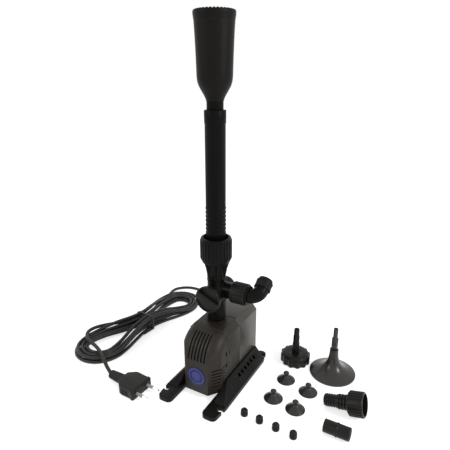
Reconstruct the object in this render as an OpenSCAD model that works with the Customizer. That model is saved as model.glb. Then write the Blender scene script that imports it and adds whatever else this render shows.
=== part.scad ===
// Fountain pump kit: submersible pump on a foot, regulator tee, tilting riser with a telescopic
// tube and a spray head, its coiled mains cord, and the loose nozzles and fittings of the set.
// Millimetres. The origin is on the floor under the outlet axis, +Z up, the intake faces -Y.

/* [Housing] */
// Width of the pump housing
body_w = 54; // [50:0.5:60]
// Height of the housing's top above the floor
body_top = 84; // [80:0.5:90]
// Height of the housing's underside above the floor
body_low = 8; // [7:0.5:10]
// From the outlet axis forward to the front face
front_len = 49; // [47:0.5:54]
// From the outlet axis back to the rear face
rear_len = 62; // [61:0.5:70]
// Radius of the large curve from front to top
nose_r = 36; // [28:0.5:38]
// Wall of the housing shells
shell_wall = 2.2; // [1.8:0.1:2.6]
// Width of the bevel along the top edges
bevel_w = 7; // [5:0.5:9]
// Height of the bevel along the top edges
bevel_h = 8; // [5:0.5:10]
// From the outlet axis forward to the cage's seam
cage_seam = 20; // [18:0.5:22]
// From the outlet axis back to the rear housing's seam
rear_seam = 12.5; // [12:0.5:15]
// Half width of the flat front between the raked corners
nose_flat = 16; // [14:0.5:18]
// Length of a raked corner, front to back
rake_len = 12.5; // [10:0.5:20]
// Diameter of the round badge on the front
badge_d = 25; // [20:0.5:27]
// Height of the impeller axis and the badge's middle
pump_z = 30.5; // [30:0.5:32]
// Vertical intake slots on the front
front_slots = 6; // [4:1:7]
// Slots round each lower corner
corner_slots = 6; // [4:1:6]
// Width of one intake slot
slot_w = 1.9; // [1.4:0.1:2.2]
// Distance between intake slots
slot_pitch = 4.4; // [4:0.1:4.6]

/* [Foot] */
// How far a rail reaches under the housing from its side
rail_tuck = 5; // [4:0.5:6]
// How far a rail stands out from the housing's side
rail_reach = 16; // [14:0.5:19]
// From the outlet axis forward to the paddles' tips
foot_front = 75; // [72:0.5:80]
// From the outlet axis back to the hooks' tips
foot_rear = 71; // [70:0.5:76]
// Thickness of a rail's plate
plate_t = 5; // [4:0.5:6]
// Height of a rail's sloping wall
rail_h = 20; // [17:0.5:22]
// Radius of the suction-cup seats in the rails
seat_r = 3.6; // [3.2:0.1:4]
// Windows in a rail's slope
windows = 6; // [4:1:6]

/* [Pump works] */
// Radius of the impeller
impeller_r = 11.5; // [10.5:0.1:12]
// Blades on the impeller
blades = 6; // [5:1:8]
// Radius of the ceramic shaft
shaft_r = 1.25; // [1:0.05:1.5]
// Radius of the rotor magnet
magnet_r = 8.4; // [8:0.1:8.8]
// Length of the rotor magnet
magnet_len = 28; // [24:0.5:30]
// Thickness of the stator's lamination stack
stack_t = 20; // [16:0.5:22]
// Radius of the outlet spigot
spigot_r = 9.9; // [9.5:0.1:10.2]

/* [Regulator] */
// Radius of the tee's lower leg
leg_r = 11.6; // [11:0.1:12.4]
// Height of the valve barrel's axis
valve_z = 121; // [119:0.5:123]
// Radius of the valve barrel
barrel_r = 14; // [13.5:0.1:15]
// Radius of the turning plug
plug_r = 11.1; // [10.6:0.1:11.4]
// Radius of the knob
knob_r = 16.8; // [16:0.1:18.5]
// Resting angle of the knob's grip below level
knob_angle = 24; // [15:1:30]
// Height of the side port's axis
port_z = 127; // [125:0.5:129]
// Radius of the side nut
side_nut_r = 13.3; // [12.8:0.1:14]
// Radius of the elbow's tube
elbow_r = 8.8; // [8:0.1:9]
// Rise of the elbow's mouth above level
elbow_tilt = 34; // [0:1:60]

/* [Riser] */
// Height of the adapter's foot
adapter_z = 141; // [141:0.5:143]
// Height of the riser nut's lower edge
nut_z = 165; // [164:0.5:167]
// Height of the riser nut's top
nut_top = 195; // [194:0.5:198]
// Radius of the riser nut over its ribs
nut_r = 19.2; // [18.8:0.1:20]
// Radius of the ball on the riser's foot
ball_r = 14.6; // [14.4:0.05:14.7]
// Radius of the riser tube
tube_r = 11.6; // [11.4:0.1:12.1]
// Height of the riser tube's top
tube_top = 340; // [320:1:360]
// Radius of the telescopic inner tube
inner_r = 9.2; // [8.8:0.05:9.3]
// Largest radius of the nozzle's body
nozzle_r = 20; // [19:0.1:21]
// Length of the nozzle from its neck to its crown
nozzle_len = 77; // [70:1:85]
// Length of the nozzle's crown
crown_len = 10.5; // [9:0.5:13]

/* [Cord] */
// Diameter of the cord
cord_d = 5; // [5:0.1:5.2]
// Loops in the hank, with the part of a loop where it ends
hank_loops = 6.14; // [6.13:0.01:6.15]
// Length of the hank's front lobe
hank_front = 117; // [112:1:122]
// Length of the hank's rear lobe
hank_rear = 116; // [112:1:120]
// Half width of the front lobe
hank_wide = 38; // [37:0.5:40]
// Half width of the rear lobe
hank_slim = 34.5; // [34:0.5:36]
// Thickness of the plug
plug_t = 14; // [13:0.5:15]
// Width of the plug's front
plug_w = 34; // [32:0.5:36]
// Length of the plug's body with its neck
plug_len = 54; // [50:0.5:58]
// Distance between the plug's pins
pin_gap = 18.6; // [17.5:0.1:19]

/* [Loose pieces] */
// Radius of the waterfall cap
cap_r = 20; // [18:0.5:21]
// Height of the waterfall cap's grip
cap_h = 14; // [12:0.5:16]
// Height of the cap's stem
stem_h = 50; // [46:0.5:54]
// Radius of the trumpet nozzle
bell_r = 29.8; // [27:0.2:32]
// Height of the trumpet nozzle with its stem
bell_h = 67; // [62:0.5:72]
// Radius of a suction cup
cup_r = 11.8; // [11:0.1:12.5]
// Height of a suction cup with its knob
cup_h = 12.5; // [11.5:0.1:13.5]
// Radius of a small rubber plug
bung_r = 4.3; // [4:0.1:4.6]
// Height of a small rubber plug
bung_h = 9; // [8:0.1:10]
// Radius of the hose tail's nut
tail_nut_r = 14.4; // [13.8:0.1:15]
// Radius of the hose tail's wide step
tail_r = 8.9; // [8.4:0.1:9.2]
// Radius of the hose tail's narrow step
tail_tip_r = 7.6; // [7:0.1:8]
// Radius of the straight connector
joiner_r = 7.3; // [7:0.1:7.8]
// Length of the straight connector
joiner_len = 29; // [26:0.5:32]

/* [Fits] */
// Clearance round a turning or sliding fit
run_fit = 0.08; // [0.05:0.01:0.1]
// Clearance between pieces that only stand beside each other
loose_fit = 0.3; // [0.2:0.05:0.5]

/* [Hidden] */
$fn = 64;
over = 1;
plastic = "#2b2926";
housing_shade = "#3b3833";
rail_shade = "#191818";
rubber_shade = "#1d1c1b";
brass_shade = "#b7b2a8";
half_w = body_w / 2;
rail_in = half_w - rail_tuck;
rail_out = half_w + rail_reach;
curve_y = nose_r - front_len;
curve_z = body_top - nose_r;
rake_in = 2;
low_edge = 1.5;
round_r = 13;
lip_len = 3;
lip_t = 1.2;
badge_deep = 1.2;
badge_proud = 0.5;
badge_rim = 1.6;
slot_low = 52;
slot_back = 28;
corner_slot_x = 18.5;
corner_slot_back = 27;
clip_deep = 0.9;
clip_w = 3;
clip_h = 6;
clip_z = 52;
clip_low_z = 36;
gland_z = 17;
gland_r = 6;
gland_len = 22;
gland_tip_r = 3.6;

function arc(cx, cy, r, a0, a1, n) = [for (i = [0:n]) let (a = a0 + (a1 - a0) * i / n) [cx + r * cos(a), cy + r * sin(a)]];
function flip(p) = [for (i = [len(p) - 1:-1:0]) [-p[i][0], p[i][1]]];

module along_y(x, y, z) { translate([x, y, z]) rotate([-90, 0, 0]) children(); }
module along_x(x, y, z) { translate([x, y, z]) rotate([0, 90, 0]) children(); }
module both_sides() { children(); mirror([1, 0, 0]) children(); }
module rod_y(x, y0, y1, z, r) { along_y(x, y0, z) cylinder(h = y1 - y0, r = r); }
module rod_x(x0, x1, y, z, r) { along_x(x0, y, z) cylinder(h = x1 - x0, r = r); }
module disc(z0, z1, r) { translate([0, 0, z0]) cylinder(h = z1 - z0, r = r); }
module block(x0, x1, y0, y1, z0, z1) { translate([x0, y0, z0]) cube([x1 - x0, y1 - y0, z1 - z0]); }
module ring_z(z, r, s) { translate([0, 0, z]) rotate_extrude() translate([r, 0]) circle(r = s, $fn = 24); }

// Ribs round a nut: short square bars, each sunk a little way into the nut
module ribs(n, r, w, z0, z1, deep) {
  for (i = [0:n - 1]) rotate([0, 0, 360 * i / n]) block(r - deep, r, -w / 2, w / 2, z0, z1);
}

// Side view of the housing, drawn in from the outside by inset
module side_view(inset) {
  rotate([90, 0, 90]) linear_extrude(height = body_w, center = true) polygon(concat(
    [[rear_len - inset, body_low + inset], [-front_len + inset, body_low + inset]],
    arc(curve_y, curve_z, nose_r - inset, 180, 90, 20),
    [[rear_len - inset, body_top - inset]]));
}

// Plan of the housing, with the raked corners of the front
module plan_view(inset) {
  right = [[nose_flat - inset / 2, inset - front_len], [half_w - rake_in - inset, rake_len - front_len],
    [half_w - inset, rake_len + rake_in - front_len], [half_w - inset, rear_len - inset]];
  linear_extrude(height = body_top + over) polygon(concat(right, flip(right)));
}

// Front view: bevelled along the top of the main housing, rounded at the top of the cage
module front_view(inset, rounded) {
  top = body_top - inset;
  side = half_w - inset;
  edge = rounded ? arc(side - round_r + inset, top - round_r + inset, round_r - inset, 0, 90, 8)
    : [[side, top - bevel_h], [side - bevel_w, top]];
  low = [[side - low_edge, body_low + inset], [side, body_low + low_edge + inset]];
  translate([0, rear_len + over, 0]) rotate([90, 0, 0]) linear_extrude(height = rear_len + front_len + 2 * over)
    polygon(concat(low, edge, flip(concat(low, edge))));
}

module form(inset, rounded) {
  intersection() {
    side_view(inset);
    plan_view(inset);
    front_view(inset, rounded);
  }
}

// What lies outside the hood's corners, which are rounded all along the nose
module nose_corners(inset) {
  r = nose_r - round_r;
  w = half_w - round_r;
  cut = round_r - inset;
  both_sides() along_x(0, curve_y, curve_z) rotate([0, 0, 180]) rotate_extrude(angle = 90) polygon(concat(
    [[r + cut + run_fit, w - over]], arc(r, w, cut, 8, 82, 7), [[r - over, w + cut + run_fit],
    [r - over, half_w + over], [nose_r + over, half_w + over], [nose_r + over, w - over]]));
}

module slice(y0, y1) { block(-body_w, body_w, y0, y1, 0, body_top + over); }

// Ring that a shell carries inside its neighbour's mouth
module lip(y0, y1, rounded) {
  difference() {
    intersection() { form(shell_wall + loose_fit, rounded); slice(y0, y1); }
    form(shell_wall + loose_fit + lip_t, rounded);
    if (rounded) nose_corners(shell_wall + loose_fit);
  }
}

module front_cage() color(housing_shade) difference() {
  intersection() { form(0, true); slice(-front_len - over, -cage_seam); }
  difference() {
    intersection() { form(shell_wall, true); slice(-front_len, over - cage_seam); }
    nose_corners(shell_wall);
  }
  nose_corners(0);
  for (i = [0:front_slots - 1]) let (x = (i - (front_slots - 1) / 2) * slot_pitch)
    block(x - slot_w / 2, x + slot_w / 2, -front_len - over, -slot_back, slot_low, body_top + over);
  both_sides() for (i = [0:corner_slots - 1]) let (z = body_low + (2.2 + i) * slot_pitch)
    block(corner_slot_x, half_w + over, -front_len - over, -corner_slot_back, z, z + slot_w);
  rod_y(0, -front_len - over, badge_deep - front_len, pump_z, badge_d / 2 + loose_fit);
  both_sides() for (z = [clip_z, clip_low_z])
    block(half_w - clip_deep, half_w + over, -cage_seam - clip_w * 1.4, -cage_seam - clip_w * 0.4, z, z + clip_h);
}

module badge() color("#23307e") {
  y0 = badge_deep - front_len;
  rod_y(0, -front_len - badge_proud / 2, y0, pump_z, badge_d / 2);
  difference() {
    rod_y(0, -front_len - badge_proud, y0, pump_z, badge_d / 2);
    rod_y(0, -front_len - badge_proud - over, y0 - badge_deep / 2, pump_z, badge_d / 2 - badge_rim);
  }
}

sponge_gap = 1;
module filter_foam() color("#20201f") difference() {
  intersection() {
    form(shell_wall + loose_fit, true);
    slice(-front_len, -cage_seam - lip_len - sponge_gap);
  }
  nose_corners(shell_wall + loose_fit);
}

collar_r = 12;
collar_low = 76;
collar_top = 86;
module middle_housing() color(housing_shade) difference() {
  union() {
    difference() {
      intersection() { form(0, false); slice(-cage_seam, rear_seam); }
      intersection() { form(shell_wall, false); slice(-front_len, rear_len); }
    }
    lip(-cage_seam - lip_len, -cage_seam + lip_len, true);
    lip(rear_seam - lip_len, rear_seam + lip_len, false);
    for (x = [-boss_x, boss_x], y = boss_ys) translate([x, y, 0])
      disc(body_low + shell_wall / 2, body_low + shell_wall + boss_h, boss_r);
  }
  disc(collar_low - over, body_top + over, collar_r + loose_fit);
  for (x = [-boss_x, boss_x], y = boss_ys) translate([x, y, 0])
    disc(body_low - over, body_low + shell_wall + boss_h + over, screw_r + run_fit);
  both_sides() block(half_w - clip_deep, half_w + over, -clip_w * 2.2, -clip_w * 2, clip_low_z - clip_h * 2, clip_low_z);
}

module rear_housing() color(housing_shade) difference() {
  intersection() { form(0, false); slice(rear_seam, rear_len + over); }
  intersection() { form(shell_wall, false); slice(0, rear_len); }
  rod_y(0, rear_len - shell_wall - over, rear_len + over, gland_z, gland_r);
}

boss_x = rail_in - 4;
boss_ys = [-13, 7.5];
boss_r = 3.4;
boss_h = 5;
screw_r = 1.4;
head_r = 2.8;
head_t = 1.8;
module base_screws() color("silver") for (x = [-boss_x, boss_x], y = boss_ys) translate([x, y, 0]) {
  disc(floor_gap, floor_gap + head_t, head_r);
  disc(floor_gap, body_low + shell_wall + boss_h - over, screw_r);
}

floor_gap = 0.8;
plate_front = 26;
plate_rear = 46;
module base_plate() color(rail_shade) difference() {
  block(-rail_in, rail_in, -plate_front, plate_rear, 0, body_low);
  for (x = [-boss_x, boss_x], y = boss_ys) translate([x, y, 0]) {
    disc(-over, floor_gap + head_t, head_r + loose_fit);
    disc(-over, body_low + over, screw_r + run_fit);
  }
}

wall_front = 52;
wall_rear = 57;
lean = 2.2;
rail_wall = 2.2;
shoulder_in = 2;
shoulder_z = 6;
tip_r = 6;
seat_y_front = -58;
seat_y_rear = 62.5;
seat_in = 4.6;
throat = 5;
window_w = 4.6;
window_pitch = 8.4;
window_y = -4;
window_in = 3.2;
window_len = 3.8;
ramp_y = 25;
module rail_plan() {
  difference() {
    polygon(concat(
      arc(rail_in + tip_r, -foot_front + tip_r, tip_r, 180, 270, 6),
      arc(rail_out - tip_r - lean, -foot_front + tip_r, tip_r, 270, 360, 6),
      [[rail_out, -wall_front + lean], [rail_out, wall_rear - lean]],
      arc(rail_out - tip_r - lean, foot_rear - tip_r, tip_r, 0, 90, 6),
      arc(half_w + loose_fit + tip_r, foot_rear - tip_r, tip_r, 90, 180, 6),
      [[half_w + loose_fit, plate_rear + lean], [rail_in, plate_rear]]));
    for (y = [seat_y_front, seat_y_rear]) {
      translate([rail_out - seat_in, y]) circle(r = seat_r);
      translate([rail_out - seat_in, y - throat / 2]) square([seat_in + over, throat]);
    }
  }
}

// Section of the sloping wall, drawn in from the outside by inset
function slope(inset) = [[half_w + loose_fit + inset, inset], [half_w + loose_fit + inset, rail_h - inset],
  [half_w + loose_fit + lean + inset / 2, rail_h - inset], [rail_out - shoulder_in - inset, shoulder_z - inset / 2],
  [rail_out - inset, plate_t - inset / 2], [rail_out - inset, inset]];

module rail() color(rail_shade) {
  linear_extrude(height = plate_t) rail_plan();
  difference() {
    translate([0, wall_rear, 0]) rotate([90, 0, 0]) linear_extrude(height = wall_rear + wall_front) polygon(slope(0));
    translate([0, wall_rear - rail_wall, 0]) rotate([90, 0, 0])
      linear_extrude(height = wall_rear + ramp_y - 2 * rail_wall) polygon(slope(rail_wall));
    for (i = [0:windows - 1]) let (y = window_y + i * window_pitch)
      block(half_w + lean + window_in, half_w + lean + window_in + window_len, y, y + window_w, plate_t, rail_h + over);
    rotate([90, 0, 90]) linear_extrude(height = rail_out + over) polygon([[-ramp_y, rail_h],
      [-wall_front - over, shoulder_z], [-wall_front - over, rail_h + over], [-ramp_y, rail_h + over]]);
    for (y = [seat_y_front, seat_y_rear]) translate([rail_out - seat_in, y, -over])
      cylinder(h = plate_t + 2 * over, r = seat_r);
  }
}
module right_rail() rail();
module left_rail() mirror([1, 0, 0]) rail();

chamber_wall = 2;
chamber_front = 12;
chamber_back = 10;
cover_t = 3;
chamber_r = impeller_r + 1.1;
flange_r = 19;
flange_t = 3;
well_r = 9.3;
bolt_ring = 16.9;
bolt_r = 1.3;
bolt_len = 6.5;
spigot_wall = 2.6;
spigot_top = 99;
seat_flange_t = 3;
module pump_chamber() color(plastic) difference() {
  union() {
    rod_y(0, cover_t - chamber_front, chamber_back, pump_z, chamber_r + chamber_wall);
    rod_y(0, chamber_back - flange_t, chamber_back, pump_z, flange_r);
    disc(pump_z, spigot_top, spigot_r);
    disc(collar_low - seat_flange_t, collar_low, collar_r);
  }
  rod_y(0, -chamber_front, chamber_back - chamber_wall, pump_z, chamber_r);
  rod_y(0, -spigot_r - over, cover_t - chamber_front, pump_z, chamber_r + chamber_wall);
  rod_y(0, 0, chamber_back + over, pump_z, well_r);
  disc(pump_z, spigot_top + over, spigot_r - spigot_wall);
  for (a = [45:90:315]) rod_y(bolt_ring * cos(a), chamber_back - flange_t - over, chamber_back + over,
    pump_z + bolt_ring * sin(a), bolt_r + run_fit);
}

eye_r = 5.6;
hub_r = 3.2;
spoke_w = 1.4;
bush_r = 2.2;
module chamber_cover() color(plastic) difference() {
  union() {
    difference() {
      rod_y(0, -chamber_front, cover_t - chamber_front, pump_z, chamber_r + chamber_wall);
      rod_y(0, -chamber_front - over, cover_t - chamber_front + over, pump_z, eye_r);
    }
    rod_y(0, -chamber_front, cover_t - chamber_front, pump_z, hub_r);
    for (a = [17:120:257]) translate([0, -chamber_front, pump_z]) rotate([0, a, 0])
      block(hub_r / 2, eye_r + spoke_w, 0, cover_t, -spoke_w / 2, spoke_w / 2);
  }
  rod_y(0, cover_t / 3 - chamber_front, cover_t - chamber_front + over, pump_z, bush_r);
}

module bush(y0, y1, r) { difference() { rod_y(0, y0, y1, pump_z, r); rod_y(0, y0 - over, y1 + over, pump_z, shaft_r); } }
module front_bush() color(rubber_shade) bush(cover_t / 3 - chamber_front, cover_t - chamber_front, bush_r);

well_end = 47;
rear_bush_len = 3;
rear_bush_r = 3.4;
module rear_bush() color(rubber_shade) bush(well_end - rear_bush_len, well_end, rear_bush_r);
module ceramic_shaft() color("white") rod_y(0, cover_t / 3 - chamber_front, well_end, pump_z, shaft_r);

magnet_y = 13;
sleeve_r = 4;
blade_t = 1.2;
blade_y = -7;
disc_y = 4.6;
disc_t = 1.6;
module rotor_magnet() color("#4a4a4c") difference() {
  rod_y(0, magnet_y, magnet_y + magnet_len, pump_z, magnet_r);
  rod_y(0, magnet_y - over, magnet_y + magnet_len + over, pump_z, shaft_r + run_fit);
}
module impeller() color("#d8d6cf") difference() {
  union() {
    rod_y(0, blade_y, magnet_y, pump_z, sleeve_r);
    rod_y(0, disc_y, disc_y + disc_t, pump_z, impeller_r);
    for (i = [0:blades - 1]) translate([0, blade_y, pump_z]) rotate([0, 360 * i / blades, 0])
      block(sleeve_r / 2, impeller_r - blade_t / 2, 0, disc_y - blade_y + disc_t / 2, -blade_t / 2, blade_t / 2);
  }
  rod_y(0, blade_y - over, magnet_y + over, pump_z, shaft_r + run_fit);
}

seal_r = 13.2;
seal_s = 0.9;
module chamber_seal() color("#5b2f24") along_y(0, chamber_back + seal_s, pump_z)
  rotate_extrude() translate([seal_r, 0]) circle(r = seal_s, $fn = 24);
module chamber_screws() color("silver") for (a = [45:90:315]) let (x = bolt_ring * cos(a), z = pump_z + bolt_ring * sin(a)) {
  rod_y(x, chamber_back - flange_t, chamber_back - flange_t + bolt_len, z, bolt_r);
  rod_y(x, chamber_back - flange_t - head_t, chamber_back - flange_t, z, bolt_r + 0.9 * over);
}

block_half = half_w - shell_wall - 1.2 * over;
block_top = 71;
block_rear = rear_len - 5;
well_wall = 1.3;
stack_y = 17;
leg_w = 6.4;
yoke_z = 61;
yoke_h = 7;
leg_low = 20.5;
shoe_in = 3;
bobbin_z = 42;
bobbin_top = 60;
bobbin_t = 1;
wind_t = 2.1;
coil_room = 3.7;
leg_in = half_w - shell_wall - coil_room - wind_t - bobbin_t - leg_w;
module stack_outline() {
  difference() {
    union() {
      for (s = [-1, 1]) {
        translate([s > 0 ? leg_in : -leg_in - leg_w, leg_low]) square([leg_w, yoke_z + yoke_h - leg_low]);
        translate([s > 0 ? shoe_in : -leg_in - over, leg_low]) square([leg_in - shoe_in + over, 2 * (pump_z - leg_low)]);
      }
      translate([-leg_in - leg_w, yoke_z]) square([2 * (leg_in + leg_w), yoke_h]);
    }
    translate([0, pump_z]) circle(r = well_r + well_wall);
  }
}
module stack_solid() { translate([0, stack_y + stack_t, 0]) rotate([90, 0, 0]) linear_extrude(height = stack_t) stack_outline(); }
module stator_core() color("#77787a") stack_solid();

// Block round both legs of the core, grown by t on every side
module leg_block(z0, z1, t) {
  both_sides() block(leg_in - t, leg_in + leg_w + t, stack_y - t, stack_y + stack_t + t, z0, z1);
}
module coil_bobbins() color("#c9c2ad") difference() {
  leg_block(bobbin_z, bobbin_top, bobbin_t + wind_t);
  leg_block(bobbin_z - over, bobbin_top + over, 0);
  difference() {
    leg_block(bobbin_z + bobbin_t, bobbin_top - bobbin_t, bobbin_t + wind_t + over);
    leg_block(bobbin_z, bobbin_top, bobbin_t);
  }
}
module coil_windings() color("#9a4a22") difference() {
  leg_block(bobbin_z + bobbin_t, bobbin_top - bobbin_t, bobbin_t + wind_t);
  leg_block(bobbin_z, bobbin_top, bobbin_t);
}
module motor_block() color("#161616") difference() {
  block(-block_half, block_half, chamber_back, block_rear, body_low + shell_wall, block_top);
  rod_y(0, chamber_back - over, well_end, pump_z, well_r);
  rod_y(0, chamber_back - over, chamber_back + 2 * seal_s, pump_z, seal_r + seal_s);
  stack_solid();
  leg_block(bobbin_z, bobbin_top, bobbin_t + wind_t);
  for (a = [45:90:315]) rod_y(bolt_ring * cos(a), chamber_back - over, chamber_back + bolt_len,
    pump_z + bolt_ring * sin(a), bolt_r + run_fit);
  both_sides() block(boss_x - boss_r - loose_fit, half_w, 0, boss_ys[1] + boss_r + loose_fit, 0, body_low + shell_wall + boss_h + loose_fit);
  difference() {
    slice(chamber_back - over, rear_seam + lip_len + loose_fit);
    form(shell_wall + 2 * loose_fit + lip_t, false);
  }
  rod_y(0, block_rear - gland_seat, block_rear + over, gland_z, gland_r);
}

gland_seat = 4;
module cord_gland() color(rubber_shade) difference() {
  union() {
    rod_y(0, block_rear - gland_seat, rear_len + gland_seat / 2, gland_z, gland_r);
    along_y(0, rear_len + gland_seat / 2, gland_z)
      cylinder(h = gland_len - gland_seat / 2, r1 = gland_r - over, r2 = gland_tip_r);
  }
  rod_y(0, rear_len + gland_len - cord_d, rear_len + gland_len + over, gland_z, cord_d / 2);
}

module outlet_collar() color(rail_shade) difference() {
  disc(collar_low, collar_top, collar_r);
  disc(collar_low - over, collar_top + over, spigot_r);
}

channel_r = 7.3;
neck_r = 10.9;
neck_bore = 9.1;
neck_low = 132;
socket_z = 134.5;
barrel_front = 14;
barrel_back = 14;
dome_y = 20;
port_r = 10;
port_y = 3;
port_end = 34;
thread_r = 10.9;
thread_x = 25;
stem_r = 4;
valve_cap_t = 2;
port_bore = 6.6;
module tee_body() color(plastic) difference() {
  union() {
    disc(collar_top, valve_z, leg_r);
    rod_y(0, -barrel_front, dome_y, valve_z, barrel_r);
    translate([0, dome_y, valve_z]) sphere(r = barrel_r);
    disc(valve_z, adapter_z, neck_r);
    rod_x(0, port_end, port_y, port_z, port_r);
    rod_x(thread_x, port_end, port_y, port_z, thread_r);
  }
  disc(collar_top - over, spigot_top + loose_fit, spigot_r);
  disc(spigot_top, valve_z, channel_r);
  disc(valve_z, adapter_z + over, channel_r);
  disc(socket_z, adapter_z + over, neck_bore);
  rod_y(0, -barrel_front - over, barrel_back, valve_z, plug_r + run_fit);
  rod_x(0, port_end + over, port_y, port_z, port_bore);
}

module valve_cap() color(plastic) difference() {
  rod_y(0, -barrel_front - valve_cap_t, -barrel_front, valve_z, barrel_r);
  rod_y(0, -barrel_front - valve_cap_t - over, -barrel_front + over, valve_z, stem_r + run_fit);
  rod_y(0, -barrel_front - valve_cap_t / 2, -barrel_front + over, valve_z, stem_r + 2 * seal_s);
}
module valve_seal() color("#5b2f24") along_y(0, -barrel_front - valve_cap_t / 2 + seal_s / 2, valve_z) difference() {
  cylinder(h = seal_s, r = stem_r + 2 * seal_s, center = true);
  cylinder(h = seal_s + over, r = stem_r + run_fit, center = true);
}
module valve_plug() color("#7d7a72") difference() {
  union() {
    rod_y(0, loose_fit - barrel_front, barrel_back - loose_fit, valve_z, plug_r);
    rod_y(0, -barrel_front - valve_cap_t - knob_seat, 0, valve_z, stem_r);
  }
  disc(valve_z - plug_r - over, valve_z + plug_r + over, channel_r);
  rod_x(0, plug_r + over, port_y, valve_z, channel_r);
}

knob_seat = 6;
knob_back = 17;
knob_face = 22;
grip_out = 3;
grip_w = 9;
dish = 2;
knob_rim = 1.6;
hub_gap = 0.4;
module valve_knob() color(plastic) translate([0, 0, valve_z]) rotate([0, knob_angle, 0]) difference() {
  union() {
    rod_y(0, -knob_face, -knob_back, 0, knob_r);
    rod_y(0, -knob_back, -barrel_front - valve_cap_t - hub_gap, 0, stem_r + knob_seat);
    intersection() {
      block(-knob_r, knob_r, -knob_face - grip_out, -knob_back, -grip_w / 2, grip_w / 2);
      rod_y(0, -knob_face - grip_out - over, -knob_back, 0, knob_r);
    }
  }
  for (s = [0, 180]) rotate([0, s, 0]) intersection() {
    rod_y(0, -knob_face - over, dish - knob_face, 0, knob_r - knob_rim);
    block(-knob_r, knob_r, -knob_face - 2 * over, dish - knob_face, grip_w / 2, knob_r);
  }
  rod_y(0, -barrel_front - valve_cap_t - knob_seat, over, 0, stem_r);
}

nut_x = 22;
nut_end = 42;
nut_lip = 3.6;
washer_t = 1;
hug_r = 11.1;
flange_x = 38.2;
module side_nut() color(plastic) translate([0, port_y, port_z]) difference() {
  union() {
    rod_x(nut_x, nut_end, 0, 0, side_nut_r - rib_deep);
    rotate([0, 90, 0]) ribs(22, side_nut_r, rib_w, nut_x + rib_deep, nut_end - rib_deep, 2 * rib_deep);
  }
  rod_x(nut_x - over, nut_x + 2 * over, 0, 0, port_r + run_fit);
  rod_x(nut_x + 2 * over, nut_end - nut_lip, 0, 0, hug_r + run_fit);
  rod_x(nut_x, nut_end + over, 0, 0, elbow_r + run_fit);
}
rib_deep = 0.7;
rib_w = 1.6;
module side_washer() color(rubber_shade) translate([0, port_y, port_z]) difference() {
  rod_x(port_end, port_end + washer_t, 0, 0, hug_r - loose_fit);
  rod_x(port_end - over, port_end + washer_t + over, 0, 0, port_bore);
}

bend_r = 11;
bend_x = 44.5;
ring_t = 2;
ring_r = 11.6;
mouth_len = 14.5;
elbow_bore = 6.6;
module elbow() color(plastic) translate([0, port_y, port_z]) rotate([elbow_tilt, 0, 0]) difference() {
  union() {
    rod_x(port_end + washer_t, bend_x, 0, 0, elbow_r);
    rod_x(port_end + washer_t, nut_end - nut_lip - run_fit, 0, 0, hug_r);
    rod_x(nut_end + hub_gap, nut_end + hub_gap + ring_t, 0, 0, ring_r);
    translate([bend_x, bend_r, 0]) rotate([0, 0, -90]) rotate_extrude(angle = 90) translate([bend_r, 0]) circle(r = elbow_r);
    rod_y(bend_x + bend_r, bend_r, bend_r + mouth_len, 0, elbow_r);
  }
  rod_x(port_end, bend_x, 0, 0, elbow_bore);
  translate([bend_x, bend_r, 0]) rotate([0, 0, -90]) rotate_extrude(angle = 90) translate([bend_r, 0]) circle(r = elbow_bore);
  rod_y(bend_x + bend_r, bend_r, bend_r + mouth_len + over, 0, elbow_bore);
}

end_ring_r = 10.4;
module elbow_collar() color(rail_shade) translate([0, port_y, port_z]) rotate([elbow_tilt, 0, 0]) difference() {
  union() {
    rod_y(bend_x + bend_r, bend_r + ring_t / 2, bend_r + mouth_len - ring_t, 0, end_ring_r - rib_deep);
    rod_y(bend_x + bend_r, bend_r + ring_t / 2, bend_r + ring_t, 0, end_ring_r);
    rod_y(bend_x + bend_r, bend_r + mouth_len - 2 * ring_t, bend_r + mouth_len - ring_t, 0, end_ring_r);
  }
  rod_y(bend_x + bend_r, bend_r, bend_r + mouth_len + over, 0, elbow_r);
}

core_r = 11.6;
hold_r = 16.4;
thread_top = nut_z + 13.5;
ball_z = thread_top - 2.5;
fin_t = 2;
foot_r = 9;
module riser_adapter() color(plastic) difference() {
  union() {
    disc(adapter_z - (adapter_z - socket_z) + run_fit, adapter_z, foot_r);
    translate([0, 0, adapter_z]) rotate([0, 0, 22.5]) cylinder(h = nut_z - adapter_z, r = core_r, $fn = 8);
    disc(nut_z - fin_t, thread_top, hold_r);
    for (a = [0:60:300]) rotate([90, 0, a + 8]) translate([0, 0, -fin_t / 2]) linear_extrude(height = fin_t)
      polygon([[core_r / 2, adapter_z + fin_t], [core_r, adapter_z + fin_t], [hold_r, nut_z - fin_t], [hold_r, nut_z], [core_r / 2, nut_z]]);
  }
  disc(socket_z - over, thread_top, channel_r);
  translate([0, 0, ball_z]) sphere(r = ball_r + run_fit);
  disc(ball_z, thread_top + over, ball_r + run_fit);
  translate([0, 0, nut_z]) rotate_extrude() translate([groove_r, 0]) circle(r = seal_s + run_fit, $fn = 24);
}

// The seal ring lies in a groove under the ball, centred on the groove's circle
groove_r = sqrt(pow(ball_r + run_fit + seal_s, 2) - pow(ball_z - nut_z, 2));
module ball_seal() color("#5b2f24") ring_z(nut_z, groove_r, seal_s);

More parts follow.
